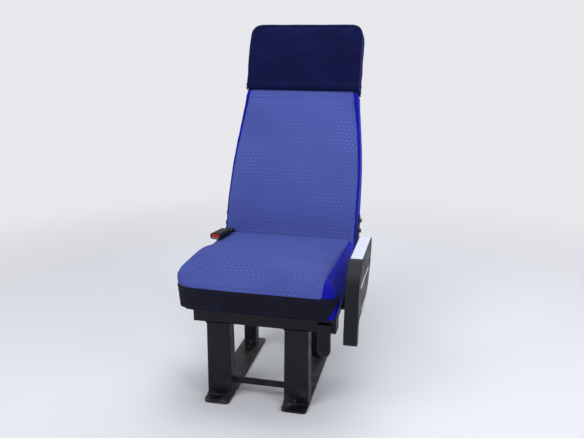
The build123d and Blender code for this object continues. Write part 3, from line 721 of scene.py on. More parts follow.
@dataclass(frozen=True)
class Stuffing:
    """How a body is filled out by a short cloth simulation under pressure.

    Attributes:
        voxel: Size of the quads before the last subdivision.
        pressure: Pressure inside the cloth.
        frames: Length of the simulation.
        cap: Furthest that a point moves out.
        shrink: How far the body starts inside its shape.
        smooth: Passes of smoothing before the simulation.
    """

    voxel: float = 0.006
    pressure: float = 4.0
    frames: int = 20
    cap: float = 0.010
    shrink: float = 0.004
    smooth: int = 4

    def fill(self, shape: Shape, freedom: Freedom) -> Shape:
        """Puff a closed body up.

        Args:
            shape: The body. It is freed.
            freedom: Share of the cap that a point may move, from its place and its normal.

        Returns:
            The filled body, subdivided once.
        """
        soft = remeshed(shape, self.voxel)
        largest_shell(soft)
        soften(soft, self.smooth)
        soft.normal_update()
        share = [freedom(v.co.copy(), v.normal.copy()) for v in soft.verts]
        for vertex, free in zip(soft.verts, share):
            vertex.co -= vertex.normal * self.shrink * free
        start = [v.co.copy() for v in soft.verts]
        ends = self.simulate(soft, share)
        for vertex, first, last, free in zip(soft.verts, start, ends, share):
            step = last - first
            if step.length > self.cap * free:
                step = step.normalized() * self.cap * free
            vertex.co = first + step
        soften(soft, 2)
        refine(soft)
        return soft

    def simulate(self, soft: Shape, share: Sequence[float]) -> list[Vector]:
        """Run the cloth under pressure.

        Args:
            soft: The body at its start.
            share: How free each point is. A point with none is held.

        Returns:
            Place of each point at the end.
        """
        mesh = bpy.data.meshes.new("stuffing")
        soft.to_mesh(mesh)
        piece = bpy.data.objects.new("stuffing", mesh)
        scene = bpy.context.scene
        scene.collection.objects.link(piece)
        held = piece.vertex_groups.new(name="held")
        for index, free in enumerate(share):
            held.add([index], 1.0 - free, "REPLACE")
        modifier = piece.modifiers.new("cloth", "CLOTH")
        cloth = modifier.settings
        cloth.quality = 5
        cloth.mass = 0.3
        cloth.tension_stiffness = 15
        cloth.compression_stiffness = 15
        cloth.shear_stiffness = 8
        cloth.bending_stiffness = 2
        cloth.use_pressure = True
        cloth.uniform_pressure_force = self.pressure
        cloth.vertex_group_mass = held.name
        cloth.effector_weights.gravity = 0.0
        modifier.collision_settings.use_collision = False
        modifier.point_cache.frame_start = 1
        modifier.point_cache.frame_end = self.frames
        for number in range(1, self.frames + 1):
            scene.frame_set(number)
        result = evaluated(piece)
        ends = [v.co.copy() for v in result.vertices]
        bpy.data.objects.remove(piece)
        bpy.data.meshes.remove(result)
        scene.frame_set(1)
        return ends


# Seams and stitches


def trace(shape: Shape, rays: Sequence[Hit]) -> list[Hit]:
    """Find where rays meet a shape.

    Args:
        shape: The shape.
        rays: Start and direction of each ray.

    Returns:
        Point and outward normal of each ray that meets the shape.
    """
    tree = BVHTree.FromBMesh(shape)
    hits = []
    for start, direction in rays:
        point, normal, _, _ = tree.ray_cast(start, direction)
        if point is not None:
            outward = normal if normal.dot(direction) < 0 else -normal
            hits.append((point, outward))
    return hits


def evenly(hits: Sequence[Hit], pitch: float, closed: bool = False) -> list[Hit]:
    """Space the points of a line evenly.

    Args:
        hits: Points and normals along the line.
        pitch: About how far apart the new points are.
        closed: Whether the line runs back to its start.

    Returns:
        Evenly spaced points and normals.
    """
    line = list(hits) + [hits[0]] if closed else list(hits)
    lengths = [0.0]
    for (first, _), (second, _) in zip(line, line[1:]):
        lengths.append(lengths[-1] + (second - first).length)
    count = max(2, round(lengths[-1] / pitch))
    result = []
    index = 0
    for step in range(count if closed else count + 1):
        target = lengths[-1] * step / count
        while index < len(line) - 2 and lengths[index + 1] < target:
            index += 1
        span = lengths[index + 1] - lengths[index]
        share = (target - lengths[index]) / span if span > 0 else 0.0
        point = line[index][0].lerp(line[index + 1][0], share)
        normal = line[index][1].lerp(line[index + 1][1], share).normalized()
        result.append((point, normal))
    return result


def groove(shape: Shape, line: Sequence[Hit], reach: float, depth: float) -> None:
    """Pull the cloth in along a seam.

    Args:
        shape: Filled body.
        line: Points of the seam.
        reach: Distance from the seam at which the pull ends.
        depth: Depth at the seam.
    """
    dense = evenly(line, 0.002)
    tree = KDTree(len(dense))
    for index, (point, _) in enumerate(dense):
        tree.insert(point, index)
    tree.balance()
    for vertex in shape.verts:
        _, index, distance = tree.find(vertex.co)
        if distance < reach and dense[index][1].dot(vertex.normal) > 0.2:
            share = 1 - (distance / reach) ** 2
            vertex.co -= dense[index][1] * depth * share * share


def cut(shape: Shape, point: Sequence[float], normal: Sequence[float], keep: Zone | None = None) -> None:
    """Add an edge loop where a plane crosses a shape.

    Args:
        shape: The shape.
        point: A point of the plane.
        normal: Its normal.
        keep: Whether a face with this centre is cut.
    """
    faces = [f for f in shape.faces if keep is None or keep(f.calc_center_median())]
    edges = {e for f in faces for e in f.edges}
    verts = {v for f in faces for v in f.verts}
    geometry = [*verts, *edges, *faces]
    bmesh.ops.bisect_plane(shape, geom=geometry, dist=1e-5, plane_co=point, plane_no=normal)


def part_of(shape: Shape, inside: Zone) -> Shape:
    """Closed copy of the part of a shape whose faces lie in a zone.

    Args:
        shape: Whole body, already cut along the zone's border.
        inside: Whether the centre of a face lies in the zone.

    Returns:
        The part, with its cut side filled.
    """
    piece = shape.copy()
    spare = [f for f in piece.faces if not inside(f.calc_center_median())]
    bmesh.ops.delete(piece, geom=spare, context="FACES")
    rims = [e for e in piece.edges if e.is_boundary]
    bmesh.ops.holes_fill(piece, edges=rims, sides=0)
    return piece


def map_cloth(shape: Shape, chart: Callable[[Vector], Point]) -> None:
    """Give a shape its cloth map.

    Args:
        shape: The shape.
        chart: Length across and along the cloth of a place.
    """
    layer = shape.loops.layers.uv.new(CLOTH_MAP)
    for face in shape.faces:
        for loop in face.loops:
            loop[layer].uv = chart(loop.vert.co)


def stitches(name: str, rows: Sequence[Sequence[Hit]], finish: Material) -> bpy.types.Object:
    """Rows of single stitches that lie on the cloth.

    Args:
        name: Name of the piece.
        rows: Points and normals of each row.
        finish: Thread.

    Returns:
        One mesh with every stitch.
    """
    shape = bmesh.new()
    size = Matrix.Diagonal((STITCH_PITCH * STITCH_SHARE, STITCH_THICK, STITCH_THICK, 1.0))
    for row in rows:
        spaced = evenly(row, STITCH_PITCH)
        for (first, up), (second, _) in zip(spaced, spaced[1:]):
            along = (second - first).normalized()
            side = up.cross(along).normalized()
            turn = Matrix((along, side, along.cross(side))).transposed().to_4x4()
            place = Matrix.Translation((first + second) / 2 + up * STITCH_THICK * 0.15) @ turn
            bmesh.ops.create_uvsphere(shape, u_segments=6, v_segments=4, radius=0.5, matrix=place @ size)
    return to_object(shape, name, finish)


# Hard shapes


def tube_along(points: Sequence[Vector], radius: float, closed: bool = False) -> Shape:
    """Round cord, wire or bead along a line.

    Args:
        points: Points of the line.
        radius: Radius of its section.
        closed: Whether the line runs back to its start.

    Returns:
        The tube.
    """
    line = bpy.data.curves.new("line", "CURVE")
    line.dimensions = "3D"
    line.bevel_depth = radius
    line.bevel_resolution = 2
    line.use_fill_caps = not closed
    spline = line.splines.new("POLY")
    spline.points.add(len(points) - 1)
    for target, point in zip(spline.points, points):
        target.co = (*point, 1.0)
    spline.use_cyclic_u = closed
    piece = bpy.data.objects.new("line", line)
    bpy.context.scene.collection.objects.link(piece)
    shape = taken(piece)
    bmesh.ops.remove_doubles(shape, verts=shape.verts[:], dist=WELD_DISTANCE)
    shape.normal_update()
    return shape


def add(shape: Shape, other: Shape) -> None:
    """Add another shape to a shape.

    Args:
        shape: Shape that takes the other in.
        other: Shape to add. It is freed.
    """
    mesh = bpy.data.meshes.new("added")
    other.to_mesh(mesh)
    other.free()
    shape.from_mesh(mesh)
    bpy.data.meshes.remove(mesh)


def rounded(
    shape: Shape,
    width: float,
    segments: int = 3,
    choose: Callable[[Vector, Vector], bool] | None = None,
    sharp: float = 30.0,
) -> None:
    """Round the sharp edges of a shape.

    Args:
        shape: The shape.
        width: Width of the round.
        segments: Faces across the round.
        choose: Whether an edge between two points is rounded.
        sharp: Edges that turn more than this many degrees are rounded.
    """
    bmesh.ops.dissolve_limit(shape, angle_limit=radians(0.5), verts=shape.verts[:], edges=shape.edges[:])
    edges = []
    for edge in shape.edges:
        if len(edge.link_faces) != 2 or edge.calc_face_angle(0.0) < radians(sharp):
            continue
        if choose is None or choose(edge.verts[0].co, edge.verts[1].co):
            edges.append(edge)
    bmesh.ops.bevel(
        shape, geom=edges, offset=width, offset_type="OFFSET", segments=segments, profile=0.5,
        affect="EDGES", material=-1, clamp_overlap=True,
    )


def box(low: Sequence[float], high: Sequence[float], round_off: float = 0.0) -> Shape:
    """Box between two corners, with its edges rounded.

    Args:
        low: Corner with the lowest values.
        high: Corner with the highest values.
        round_off: Width of the rounds.

    Returns:
        The box.
    """
    shape = bmesh.new()
    middle = (Vector(low) + Vector(high)) / 2
    size = Vector(high) - Vector(low)
    bmesh.ops.create_cube(shape, size=1.0, matrix=Matrix.Translation(middle) @ Matrix.Diagonal((*size, 1.0)))
    if round_off > 0:
        rounded(shape, round_off, 2)
    return shape


def turned(profile: Sequence[Point], place: Matrix, steps: int) -> Shape:
    """Solid of revolution about Z.

    Args:
        profile: Radius and height of each point, from the axis round to the axis.
        place: Where it goes.
        steps: Faces round it.

    Returns:
        The solid.
    """
    shape = bmesh.new()
    points = [shape.verts.new((radius, 0.0, height)) for radius, height in profile]
    lines = [shape.edges.new(pair) for pair in zip(points, points[1:])]
    bmesh.ops.spin(
        shape, geom=[*points, *lines], cent=(0, 0, 0), axis=(0, 0, 1), angle=tau, steps=steps, use_merge=True
    )
    bmesh.ops.remove_doubles(shape, verts=shape.verts[:], dist=WELD_DISTANCE)
    bmesh.ops.recalc_face_normals(shape, faces=shape.faces[:])
    shape.transform(place)
    return shape


def facing(spot: Sequence[float], axis: Axis, flip: bool = False) -> Matrix:
    """Place at a spot whose Z runs along an axis, or the other way."""
    way = Vector(axis.value) * (-1 if flip else 1)
    return Matrix.Translation(spot) @ way.to_track_quat("Z", "Y").to_matrix().to_4x4()


def arc(middle_x: float, middle_y: float, radius: float, first: float, last: float) -> list[Point]:
    """Points of an arc in the plane, between two angles in degrees.

    Args:
        middle_x: First coordinate of its centre.
        middle_y: Second coordinate of its centre.
        radius: Its radius.
        first: Angle at its start.
        last: Angle at its end.

    Returns:
        The points.
    """
    steps = max(2, round(abs(last - first) / 15))
    angles = [radians(first + (last - first) * step / steps) for step in range(steps + 1)]
    return [(middle_x + radius * cos(a), middle_y + radius * sin(a)) for a in angles]


@dataclass(frozen=True)
class Bolt:
    """Hexagonal bolt head on a washer.

    Attributes:
        across: Width over the flats.
        high: Height of the head.
        washer: Radius of the washer.
        thick: Thickness of the washer.
    """

    across: float = 0.013
    high: float = 0.0053
    washer: float = 0.0105
    thick: float = 0.0016

    def shape(self, place: Matrix, turn: float) -> Shape:
        """Head and washer that stand on a surface.

        Args:
            place: Spot on the surface, with Z outwards.
            turn: Turn of the head in degrees.

        Returns:
            The shape.
        """
        edge = self.thick * 0.3
        rim = self.washer - edge
        top = self.thick - edge
        profile = [
            (0, 0), (rim, 0), (self.washer, edge), (self.washer, top), (rim, self.thick), (0, self.thick),
        ]
        body = turned(profile, place, 28)
        head = bmesh.new()
        lift = Matrix.Translation((0, 0, self.thick + self.high / 2)) @ Matrix.Rotation(radians(turn), 4, "Z")
        radius = self.across / 3**0.5
        bmesh.ops.create_cone(
            head, cap_ends=True, segments=6, radius1=radius, radius2=radius, depth=self.high, matrix=lift
        )
        rounded(head, self.high * 0.12, 2)
        head.transform(place)
        add(body, head)
        return body


def weld(corners: Sequence[Vector], radius: float, closed: bool = True) -> Shape:
    """Weld bead along straight lines between corners, with the ripples of its pools.

    Args:
        corners: Corners of the line.
        radius: Radius of the bead.
        closed: Whether the line runs back to its start.

    Returns:
        The bead.
    """
    line = [(corner, Vector(Axis.Z.value)) for corner in corners]
    spaced = evenly(line, radius * 0.9, closed)
    shape = tube_along([point for point, _ in spaced], radius, closed)
    for vertex in shape.verts:
        ripple = noise.noise(vertex.co * 420.0) * 0.22 + noise.noise(vertex.co * 1300.0) * 0.16
        vertex.co += vertex.normal * radius * ripple
    return shape


# Sub-assemblies


def joint_place(name: str) -> Vector:
    """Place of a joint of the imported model."""
    return next(Vector(j["pos_m"]) for j in frame["joints"] if j["name"] == name)


@dataclass(frozen=True)
class SeatFrame:
    """Places of the seat that several pieces share.

    Attributes:
        plane: X of the seat's own plane of symmetry.
        lean: Backrest's lean in degrees.
        pivot: Recline axis, from the model's joint.
    """

    plane: float = -0.0255
    lean: float = 22.0
    pivot: Vector = field(default_factory=lambda: joint_place("backrest_recline"))

    def seat(self) -> Matrix:
        """From the seat's plane and front edge to the model's frame."""
        return Matrix.Translation((self.plane, CAD_BOX[0][1], 0.0))

    def back(self) -> Matrix:
        """From the upright backrest, about its recline axis, to the model's frame."""
        return Matrix.Translation(self.pivot) @ Matrix.Rotation(radians(-self.lean), 4, "X")


@dataclass
class Assembly:
    """Sub-assembly of the seat, with its sizes in its own frame.

    Attributes:
        home: Shared places of the seat.
        wardrobe: Finishes.
        rides: Body that its pieces ride on.
    """

    home: SeatFrame
    wardrobe: Wardrobe
    rides: Body = Body.BASE

    def place(self) -> Matrix:
        """From the assembly's own frame to the model's frame."""
        return self.home.seat()

    def own(self, *nodes: str) -> Shape:
        """Copy CAD nodes into the assembly's own frame.

        Args:
            nodes: The nodes.

        Returns:
            The shape.
        """
        shape = copy_nodes(*nodes)
        shape.transform(self.place().inverted())
        return shape

    def make(
        self, shape: Shape, name: str, slot: Slot, *nodes: str,
        finishes: Sequence[Material] = (), sharp: float = 180.0, fill: float | None = None,
    ) -> None:
        """Make a piece of a shape in the assembly's own frame.

        Args:
            shape: The shape. It is freed.
            name: Name of the piece.
            slot: Slot of the record that gives its finish.
            nodes: CAD nodes that it replaces.
            finishes: Materials, where the slot's own isn't the only one.
            sharp: Edges that turn more than this many degrees stay sharp.
            fill: Not used.
        """
        shape.transform(self.place())
        piece = to_object(shape, name, *(finishes or (self.wardrobe.of(slot),)), sharp=sharp)
        settle(piece, self.rides, slot, *nodes)

    def sew(self, name: str, rows: Sequence[Sequence[Hit]], thread: Material, slot: Slot) -> None:
        """Sew rows of stitches.

        Args:
            name: Name of the piece.
            rows: Points and normals of each row, in the assembly's own frame.
            thread: Material of the thread.
            slot: Slot of the record that stands for it.
        """
        place = self.place()
        turn = place.to_3x3()
        placed = [[(place @ point, turn @ normal) for point, normal in row] for row in rows]
        settle(stitches(name, placed, thread), self.rides, slot)

    def build(self) -> None:
        """Make every piece of the assembly."""
        raise NotImplementedError


@dataclass
class Cushion(Assembly):
    """Sprung cushion: light top that goes round the window side's edge, a dark and a blue side.

    Attributes:
        seam: Distance of the aisle side's seam from the seat's plane, at the rear.
        seam_in: How far it comes in from the rear to the front.
        inner: Inner face of the window side panel, from the seat's plane.
        low_seam: Height of the window side's seam.
        rear: Rear face at the seam with the backrest, back from the front edge.
        roll: Radius of the front roll.
        front: Front of the roll.
        crown: Height of the top.
        plump: How far the top rises along the window side.
        buckle: How far back the buckle's front is.
        under: Height below which the underside is felt.
        reach: Distance at which a seam's groove ends.
        stitch_in: Distance of the stitches from the seams.
    """

    seam: float = 0.206
    seam_in: float = 0.015
    inner: float = 0.206
    low_seam: float = 0.395
    rear: float = 0.4295
    roll: float = 0.048
    front: float = 0.006
    crown: float = 0.442
    plump: float = 0.013
    buckle: float = 0.312
    under: float = 0.345
    reach: float = 0.007
    stitch_in: float = 0.006
    stuffing: Stuffing = Stuffing(cap=0.011, shrink=0.005)

    def freedom(self, place: Vector, normal: Vector) -> float:
        """How freely a point of the cushion moves as it is stuffed.

        Args:
            place: The point.
            normal: Its normal.

        Returns:
            The share from 0 to 1.
        """
        free = 1.0 - ramp(-normal.z, 0.1, 0.6)
        free *= 1.0 - 0.9 * ramp(place.y, self.rear - 0.05, self.rear - 0.01)
        free *= 0.35 + 0.65 * ramp(place.z, 0.375, 0.425)
        free *= 1.0 - 0.55 * ramp(place.x, self.seam - 0.01, self.seam + 0.015)
        return free * (1.0 - 0.4 * ramp(-place.x, 0.225, 0.243))

    def chart(self, place: Vector) -> Point:
        """Place on the cloth.

        Args:
            place: A point of the cushion.

        Returns:
            Length from the seat's plane and down the window side, and from the front roll over the top.
        """
        drop = max(0.0, self.crown - place.z) * ramp(-place.x, 0.205, 0.235)
        across = place.x - drop * ramp(place.y, 0.02, 0.09)
        middle_y = self.front + self.roll
        middle_z = self.crown - self.roll
        if place.y > middle_y:
            return across, place.y - middle_y
        if place.z > middle_z:
            spoke = Vector((middle_y - place.y, place.z - middle_z))
            return across, -self.roll * spoke.angle_signed(Vector((0, 1)))
        return across, -self.roll * pi / 2 - (middle_z - place.z)

    def slant(self) -> Vector:
        """Direction of the aisle side's seam, from the rear to the front."""
        return Vector((-self.seam_in, -self.rear, 0)).normalized()

    def seam_x(self, y: float) -> float:
        """Distance of the aisle side's seam from the seat's plane, at a distance back from the front."""
        return self.seam - self.seam_in * (1 - y / self.rear)

    def seam_rays(self, inset: float) -> list[Hit]:
        """Rays that find a line over the top and down the front beside the aisle side's seam.

        Args:
            inset: Distance from the seam.

        Returns:
            The rays.
        """
        middle = Vector((self.seam_x(0.20) - inset, 0.20, 0.365))
        rays = []
        for step in range(161):
            angle = radians(12 + 172 * step / 160)
            outward = -self.slant() * cos(angle) + Vector((0, 0, sin(angle)))
            rays.append((middle + outward * 0.6, -outward))
        return rays

    def window_rays(self, lift: float) -> list[Hit]:
        """Rays that find the window side's seam, or a line at some height over it."""
        height = self.low_seam + lift
        return [(Vector((-0.5, 0.05 + 0.36 * step / 80, height)), Vector((1, 0, 0))) for step in range(81)]

    def swell(self, body: Shape) -> None:
        """Raise the top along the window side, ahead of the buckle, and push that edge out.

        Args:
            body: The filled body.
        """
        for vertex in body.verts:
            place = vertex.co
            share = ramp(-place.x, 0.06, 0.19) * ramp(place.z, 0.375, 0.425)
            share *= ramp(self.buckle - place.y, 0.0, 0.10) * (0.35 + 0.65 * ramp(place.y, 0.0, 0.08))
            place.z += self.plump * share
            place.x -= self.plump * 0.6 * share * ramp(-place.x, 0.15, 0.225)

    def under_seam(self, place: Vector) -> bool:
        """Whether a place belongs to the window side panel."""
        return place.x < -self.inner and place.z < self.low_seam

    def build(self) -> None:
        """Make every piece of the cushion."""
        nodes = ("cushion", "cushion_side_window", "cushion_side_aisle")
        body = self.stuffing.fill(self.own(*nodes), self.freedom)
        self.swell(body)
        body.normal_update()
        cut(body, (self.seam, self.rear, 0), self.slant().cross(Vector((0, 0, 1))))
        cut(body, (0, 0, self.low_seam), (0, 0, 1), lambda c: c.x < 0)
        cut(body, (-self.inner, 0, 0), (1, 0, 0), lambda c: c.x < 0 and c.z < self.low_seam)
        groove(body, trace(body, self.seam_rays(0.0)), self.reach, 0.0032)
        groove(body, trace(body, self.window_rays(0.0)), self.reach, 0.0028)
        body.normal_update()
        rows = [trace(body, self.seam_rays(self.stitch_in)), trace(body, self.window_rays(self.stitch_in))]
        zones: tuple[tuple[str, Zone, Slot], ...] = (
            ("cushion_top", lambda c: c.x < self.seam_x(c.y) and not self.under_seam(c), Slot.SEAT_FABRIC),
            ("cushion_side_left", self.under_seam, Slot.DARK_FABRIC),
            ("cushion_side_right", lambda c: c.x > self.seam_x(c.y), Slot.SIDE_FABRIC),
        )
        for (name, zone, slot), node in zip(zones, nodes):
            part = part_of(body, zone)
            map_cloth(part, self.chart)
            for face in part.faces:
                if face.normal.z < -0.7 and face.calc_center_median().z < self.under:
                    face.material_index = 1
            finishes = (self.wardrobe.of(slot), self.wardrobe.underlay)
            self.make(part, name, slot, node, finishes=finishes, fill=0.75)
        body.free()
        self.sew("cushion_stitches", rows, self.wardrobe.pale_thread, Slot.SEAT_FABRIC)


@dataclass
class Backrest(Assembly):
    """Reclining backrest: light pad, two blue sides and the dark rear shell.

    Attributes:
        half_low: Half its width under the shoulders.
        half_hem: Half its width at the head cover's hem.
        seam_low: Distance of the front seams from the middle, under the shoulders.
        seam_hem: The same distance at the hem.
        shoulder: Height at which the straight lines of a seam meet.
        shoulder_round: Radius that rounds the seam there.
        hem: Height of the head cover's hem.
        shell_face: Front face of the rear shell.
        panel_in: Distance of the rear panel's groove from the edge.
        stitch_in: Distance of the stitches from the seams.
    """

    rides: Body = Body.BACKREST
    half_low: float = 0.226
    half_hem: float = 0.196
    seam_low: float = 0.219
    seam_hem: float = 0.180
    shoulder: float = 0.270
    shoulder_round: float = 1.8
    hem: float = 0.528
    shell_face: float = 0.026
    panel_in: float = 0.026
    stitch_in: float = 0.006
    stuffing: Stuffing = Stuffing(cap=0.009, shrink=0.004)

    def place(self) -> Matrix:
        """From the upright backrest to the model's frame."""
        return self.home.back()

    def freedom(self, place: Vector, normal: Vector) -> float:
        """How freely a point of the backrest moves as it is stuffed.

        Args:
            place: The point.
            normal: Its normal.

        Returns:
            The share from 0 to 1.
        """
        free = 0.25 + 0.75 * ramp(-normal.y, 0.2, 0.8)
        free *= 1.0 - 0.85 * ramp(place.z, self.hem - 0.05, self.hem - 0.015)
        free *= 0.1 + 0.9 * ramp(place.z, 0.0, 0.07)
        beside_arms = ramp(abs(place.x), self.half_low - 0.03, self.half_low - 0.015)
        return free * (1.0 - beside_arms * (1.0 - ramp(place.z, 0.13, 0.20)))

    def slant(self) -> float:
        """Angle of the front seams above the shoulders."""
        return atan2(self.seam_low - self.seam_hem, self.hem - self.shoulder)

    def bend(self) -> tuple[float, float]:
        """Heights between which a front seam is rounded."""
        run = self.shoulder_round * tan(self.slant() / 2)
        return self.shoulder - run, self.shoulder + run * cos(self.slant())

    def seam_x(self, height: float) -> float:
        """Distance of the front seams from the middle.

        Args:
            height: Height along the backrest.

        Returns:
            The distance.
        """
        first, last = self.bend()
        if height > last:
            return self.seam_low - (height - self.shoulder) * tan(self.slant())
        above = max(0.0, height - first)
        return self.seam_low - (self.shoulder_round - sqrt(self.shoulder_round**2 - above**2))

    def steps(self) -> list[tuple[float, float]]:
        """Spans of height in which the front seams are cut straight.

        Returns:
            Start and end of each span, from the bottom to the top.
        """
        first, last = self.bend()
        heights = [-1.0, *(first + (last - first) * step / 8 for step in range(9)), 1.0]
        return list(zip(heights, heights[1:]))

    def cut_x(self, height: float) -> float:
        """Distance of the cuts along the front seams from the middle.

        Args:
            height: Height along the backrest.

        Returns:
            The distance.
        """
        for low, high in self.steps():
            if height <= high:
                share = (height - low) / (high - low)
                return self.seam_x(low) + share * (self.seam_x(high) - self.seam_x(low))
        return self.seam_x(height)

    def front_rays(self, side: int, inset: float) -> list[Hit]:
        """Rays that find a line up the front beside one seam.

        Args:
            side: 1 on the aisle side and -1 on the window side.
            inset: Distance from the seam.

        Returns:
            The rays.
        """
        rays = []
        for step in range(101):
            height = 0.012 + (self.hem - 0.014) * step / 100
            start = Vector((side * (self.seam_x(height) - inset), -0.5, height))
            rays.append((start, Vector((0, 1, 0))))
        return rays

    def rear_rays(self, inset: float) -> list[Hit]:
        """Rays that find a line round the rear panel, up one side, across the top and down the other.

        Args:
            inset: Distance from the edge.

        Returns:
            The rays.
        """
        top = self.hem - 0.030
        half = self.half_hem - inset
        low = self.half_low - inset
        corners = [(-low, 0.03), (-low, self.shoulder - 0.06), (-half, top - 0.03), (-half + 0.03, top)]
        corners += [(-x, z) for x, z in reversed(corners)]
        rays = []
        for (x0, z0), (x1, z1) in zip(corners, corners[1:]):
            for step in range(24):
                share = step / 24
                start = Vector((x0 + (x1 - x0) * share, 0.5, z0 + (z1 - z0) * share))
                rays.append((start, Vector((0, -1, 0))))
        return rays

    def cut_seams(self, body: Shape) -> None:
        """Cut the body along the rear shell's face and the front seams.

        Args:
            body: The filled body.
        """
        cut(body, (0, self.shell_face, 0), (0, 1, 0))
        for low, high in self.steps():
            cut(body, (0, 0, high), (0, 0, 1), lambda c: c.y < self.shell_face)
            for side in (-1, 1):
                start = Vector((side * self.seam_x(low), 0, low))
                end = Vector((side * self.seam_x(high), 0, high))
                across = Vector((end.z - start.z, 0, start.x - end.x)).normalized()
                cut(body, start, across, lambda c: c.y < self.shell_face and low < c.z < high)

    def build(self) -> None:
        """Make every piece of the backrest."""
        nodes = ("back_pad", "back_side_window", "back_side_aisle", "back_shell")
        body = self.stuffing.fill(self.own(*nodes), self.freedom)
        self.cut_seams(body)
        for side in (-1, 1):
            groove(body, trace(body, self.front_rays(side, 0.0)), 0.007, 0.003)
        groove(body, trace(body, self.rear_rays(self.panel_in)), 0.008, 0.003)
        body.normal_update()
        front_rows = [trace(body, self.front_rays(side, self.stitch_in)) for side in (-1, 1)]
        rear_rows = [trace(body, self.rear_rays(self.panel_in + self.stitch_in))]
        face = self.shell_face
        zones: tuple[tuple[str, Zone, Slot], ...] = (
            ("back_front", lambda c: c.y < face and abs(c.x) < self.cut_x(c.z), Slot.SEAT_FABRIC),
            ("back_side_left", lambda c: c.y < face and c.x < -self.cut_x(c.z), Slot.SIDE_FABRIC),
            ("back_side_right", lambda c: c.y < face and c.x > self.cut_x(c.z), Slot.SIDE_FABRIC),
            ("back_rear", lambda c: c.y > face, Slot.DARK_FABRIC),
        )
        for (name, zone, slot), node in zip(zones, nodes):
            part = part_of(body, zone)
            map_cloth(part, lambda c: (c.x, c.z))
            self.make(part, name, slot, node, fill=0.8)
        body.free()
        self.sew("back_front_stitches", front_rows, self.wardrobe.pale_thread, Slot.SEAT_FABRIC)
        self.sew("back_rear_stitches", rear_rows, self.wardrobe.thread, Slot.SEAT_FABRIC)


@dataclass
class HeadCover(Assembly):
    """Velour slip cover over the top of the backrest, with a stitched and bound hem.

    Attributes:
        hem: Height of the hem.
        top: Height of the top.
        half: Half its width.
        seam_inset: Distance of the front panel's seam from the edges.
        seam_round: Radius of that seam's corners.
        band: Height of the hem's band.
        stitch_in: Distance of the hem's stitches from the band's groove.
        binding: Radius of the bound edge.
    """

    rides: Body = Body.BACKREST
    hem: float = 0.528
    top: float = 0.766
    half: float = 0.199
    seam_inset: float = 0.017
    seam_round: float = 0.036
    band: float = 0.022
    stitch_in: float = 0.004
    binding: float = 0.0019
    stuffing: Stuffing = Stuffing(voxel=0.005, cap=0.007, shrink=0.003, smooth=5)

    def place(self) -> Matrix:
        """From the upright backrest to the model's frame."""
        return self.home.back()

    def freedom(self, place: Vector, normal: Vector) -> float:
        """How freely a point of the cover moves as it is stuffed.

        Args:
            place: The point.
            normal: Its normal.

        Returns:
            The share from 0 to 1.
        """
        free = 0.45 + 0.55 * ramp(-normal.y, 0.1, 0.7)
        free *= 1.0 - ramp(-normal.z, 0.2, 0.6)
        return free * (0.15 + 0.85 * ramp(place.z, self.hem + 0.005, self.hem + 0.05))

    def ring_rays(self, height: float) -> list[Hit]:
        """Rays that find the line round the cover at one height.

        Args:
            height: The height.

        Returns:
            The rays.
        """
        rays = []
        for step in range(240):
            angle = tau * step / 240
            outward = Vector((cos(angle), 0.35 * sin(angle), 0)).normalized()
            middle = Vector((0.15 * cos(angle), 0.0, height))
            rays.append((middle + outward * 0.5, -outward))
        return rays

    def panel_rays(self) -> list[Hit]:
        """Rays that find the seam round the front panel, up one side and down the other.

        Returns:
            The rays.
        """
        radius = self.seam_round
        half = self.half - self.seam_inset
        top = self.top - self.seam_inset
        low = self.hem + self.band + 0.004
        spots = [(-half, low + (top - radius - low) * s / 30) for s in range(30)]
        for step in range(16):
            angle = radians(180 - 90 * step / 15)
            spots.append((-half + radius + radius * cos(angle), top - radius + radius * sin(angle)))
        spots += [(-half + radius + (half - radius) * s / 14, top) for s in range(1, 14)]
        spots += [(-x, z) for x, z in reversed(spots)]
        return [(Vector((x, -0.5, z)), Vector((0, 1, 0))) for x, z in spots]

    def crease(self, body: Shape) -> None:
        """Press soft folds into the cloth, away from the hem.

        Args:
            body: The filled body.
        """
        for vertex in body.verts:
            place = vertex.co
            away = ramp(place.z, self.hem + 0.004, self.hem + 0.03)
            fold = noise.noise(Vector((place.x * 10, place.y * 6, place.z * 26 + 3.7)))
            fine = noise.noise(Vector((place.x * 34, place.y * 20, place.z * 60)))
            vertex.co += vertex.normal * (0.0016 * fold + 0.0005 * fine) * away

    def build(self) -> None:
        """Make the cover, its hem and its stitches."""
        body = self.stuffing.fill(self.own("head_cover"), self.freedom)
        self.crease(body)
        body.normal_update()
        groove(body, trace(body, self.panel_rays()), 0.007, 0.0022)
        border = self.hem + self.band
        band = trace(body, self.ring_rays(border))
        groove(body, [*band, band[0]], 0.005, 0.0018)
        body.normal_update()
        rows = [trace(body, self.ring_rays(border + lift)) for lift in (-self.stitch_in, self.stitch_in)]
        edge = trace(body, self.ring_rays(self.hem + 0.004))
        map_cloth(body, lambda c: (c.x, c.z))
        self.make(body, "head_slip_cover", Slot.VELOUR, "head_cover", fill=0.5)
        self.sew("hem_stitches", [[*row, row[0]] for row in rows], self.wardrobe.thread, Slot.VELOUR)
        below = Vector((0, 0, -0.0035))
        ring = [self.place() @ (p + below + n * 0.0002) for p, n in evenly(edge, 0.006, closed=True)]
        binding = tube_along(ring, self.binding, closed=True)
        settle(to_object(binding, "hem_binding", self.wardrobe.of(Slot.VELOUR)), self.rides, Slot.VELOUR)


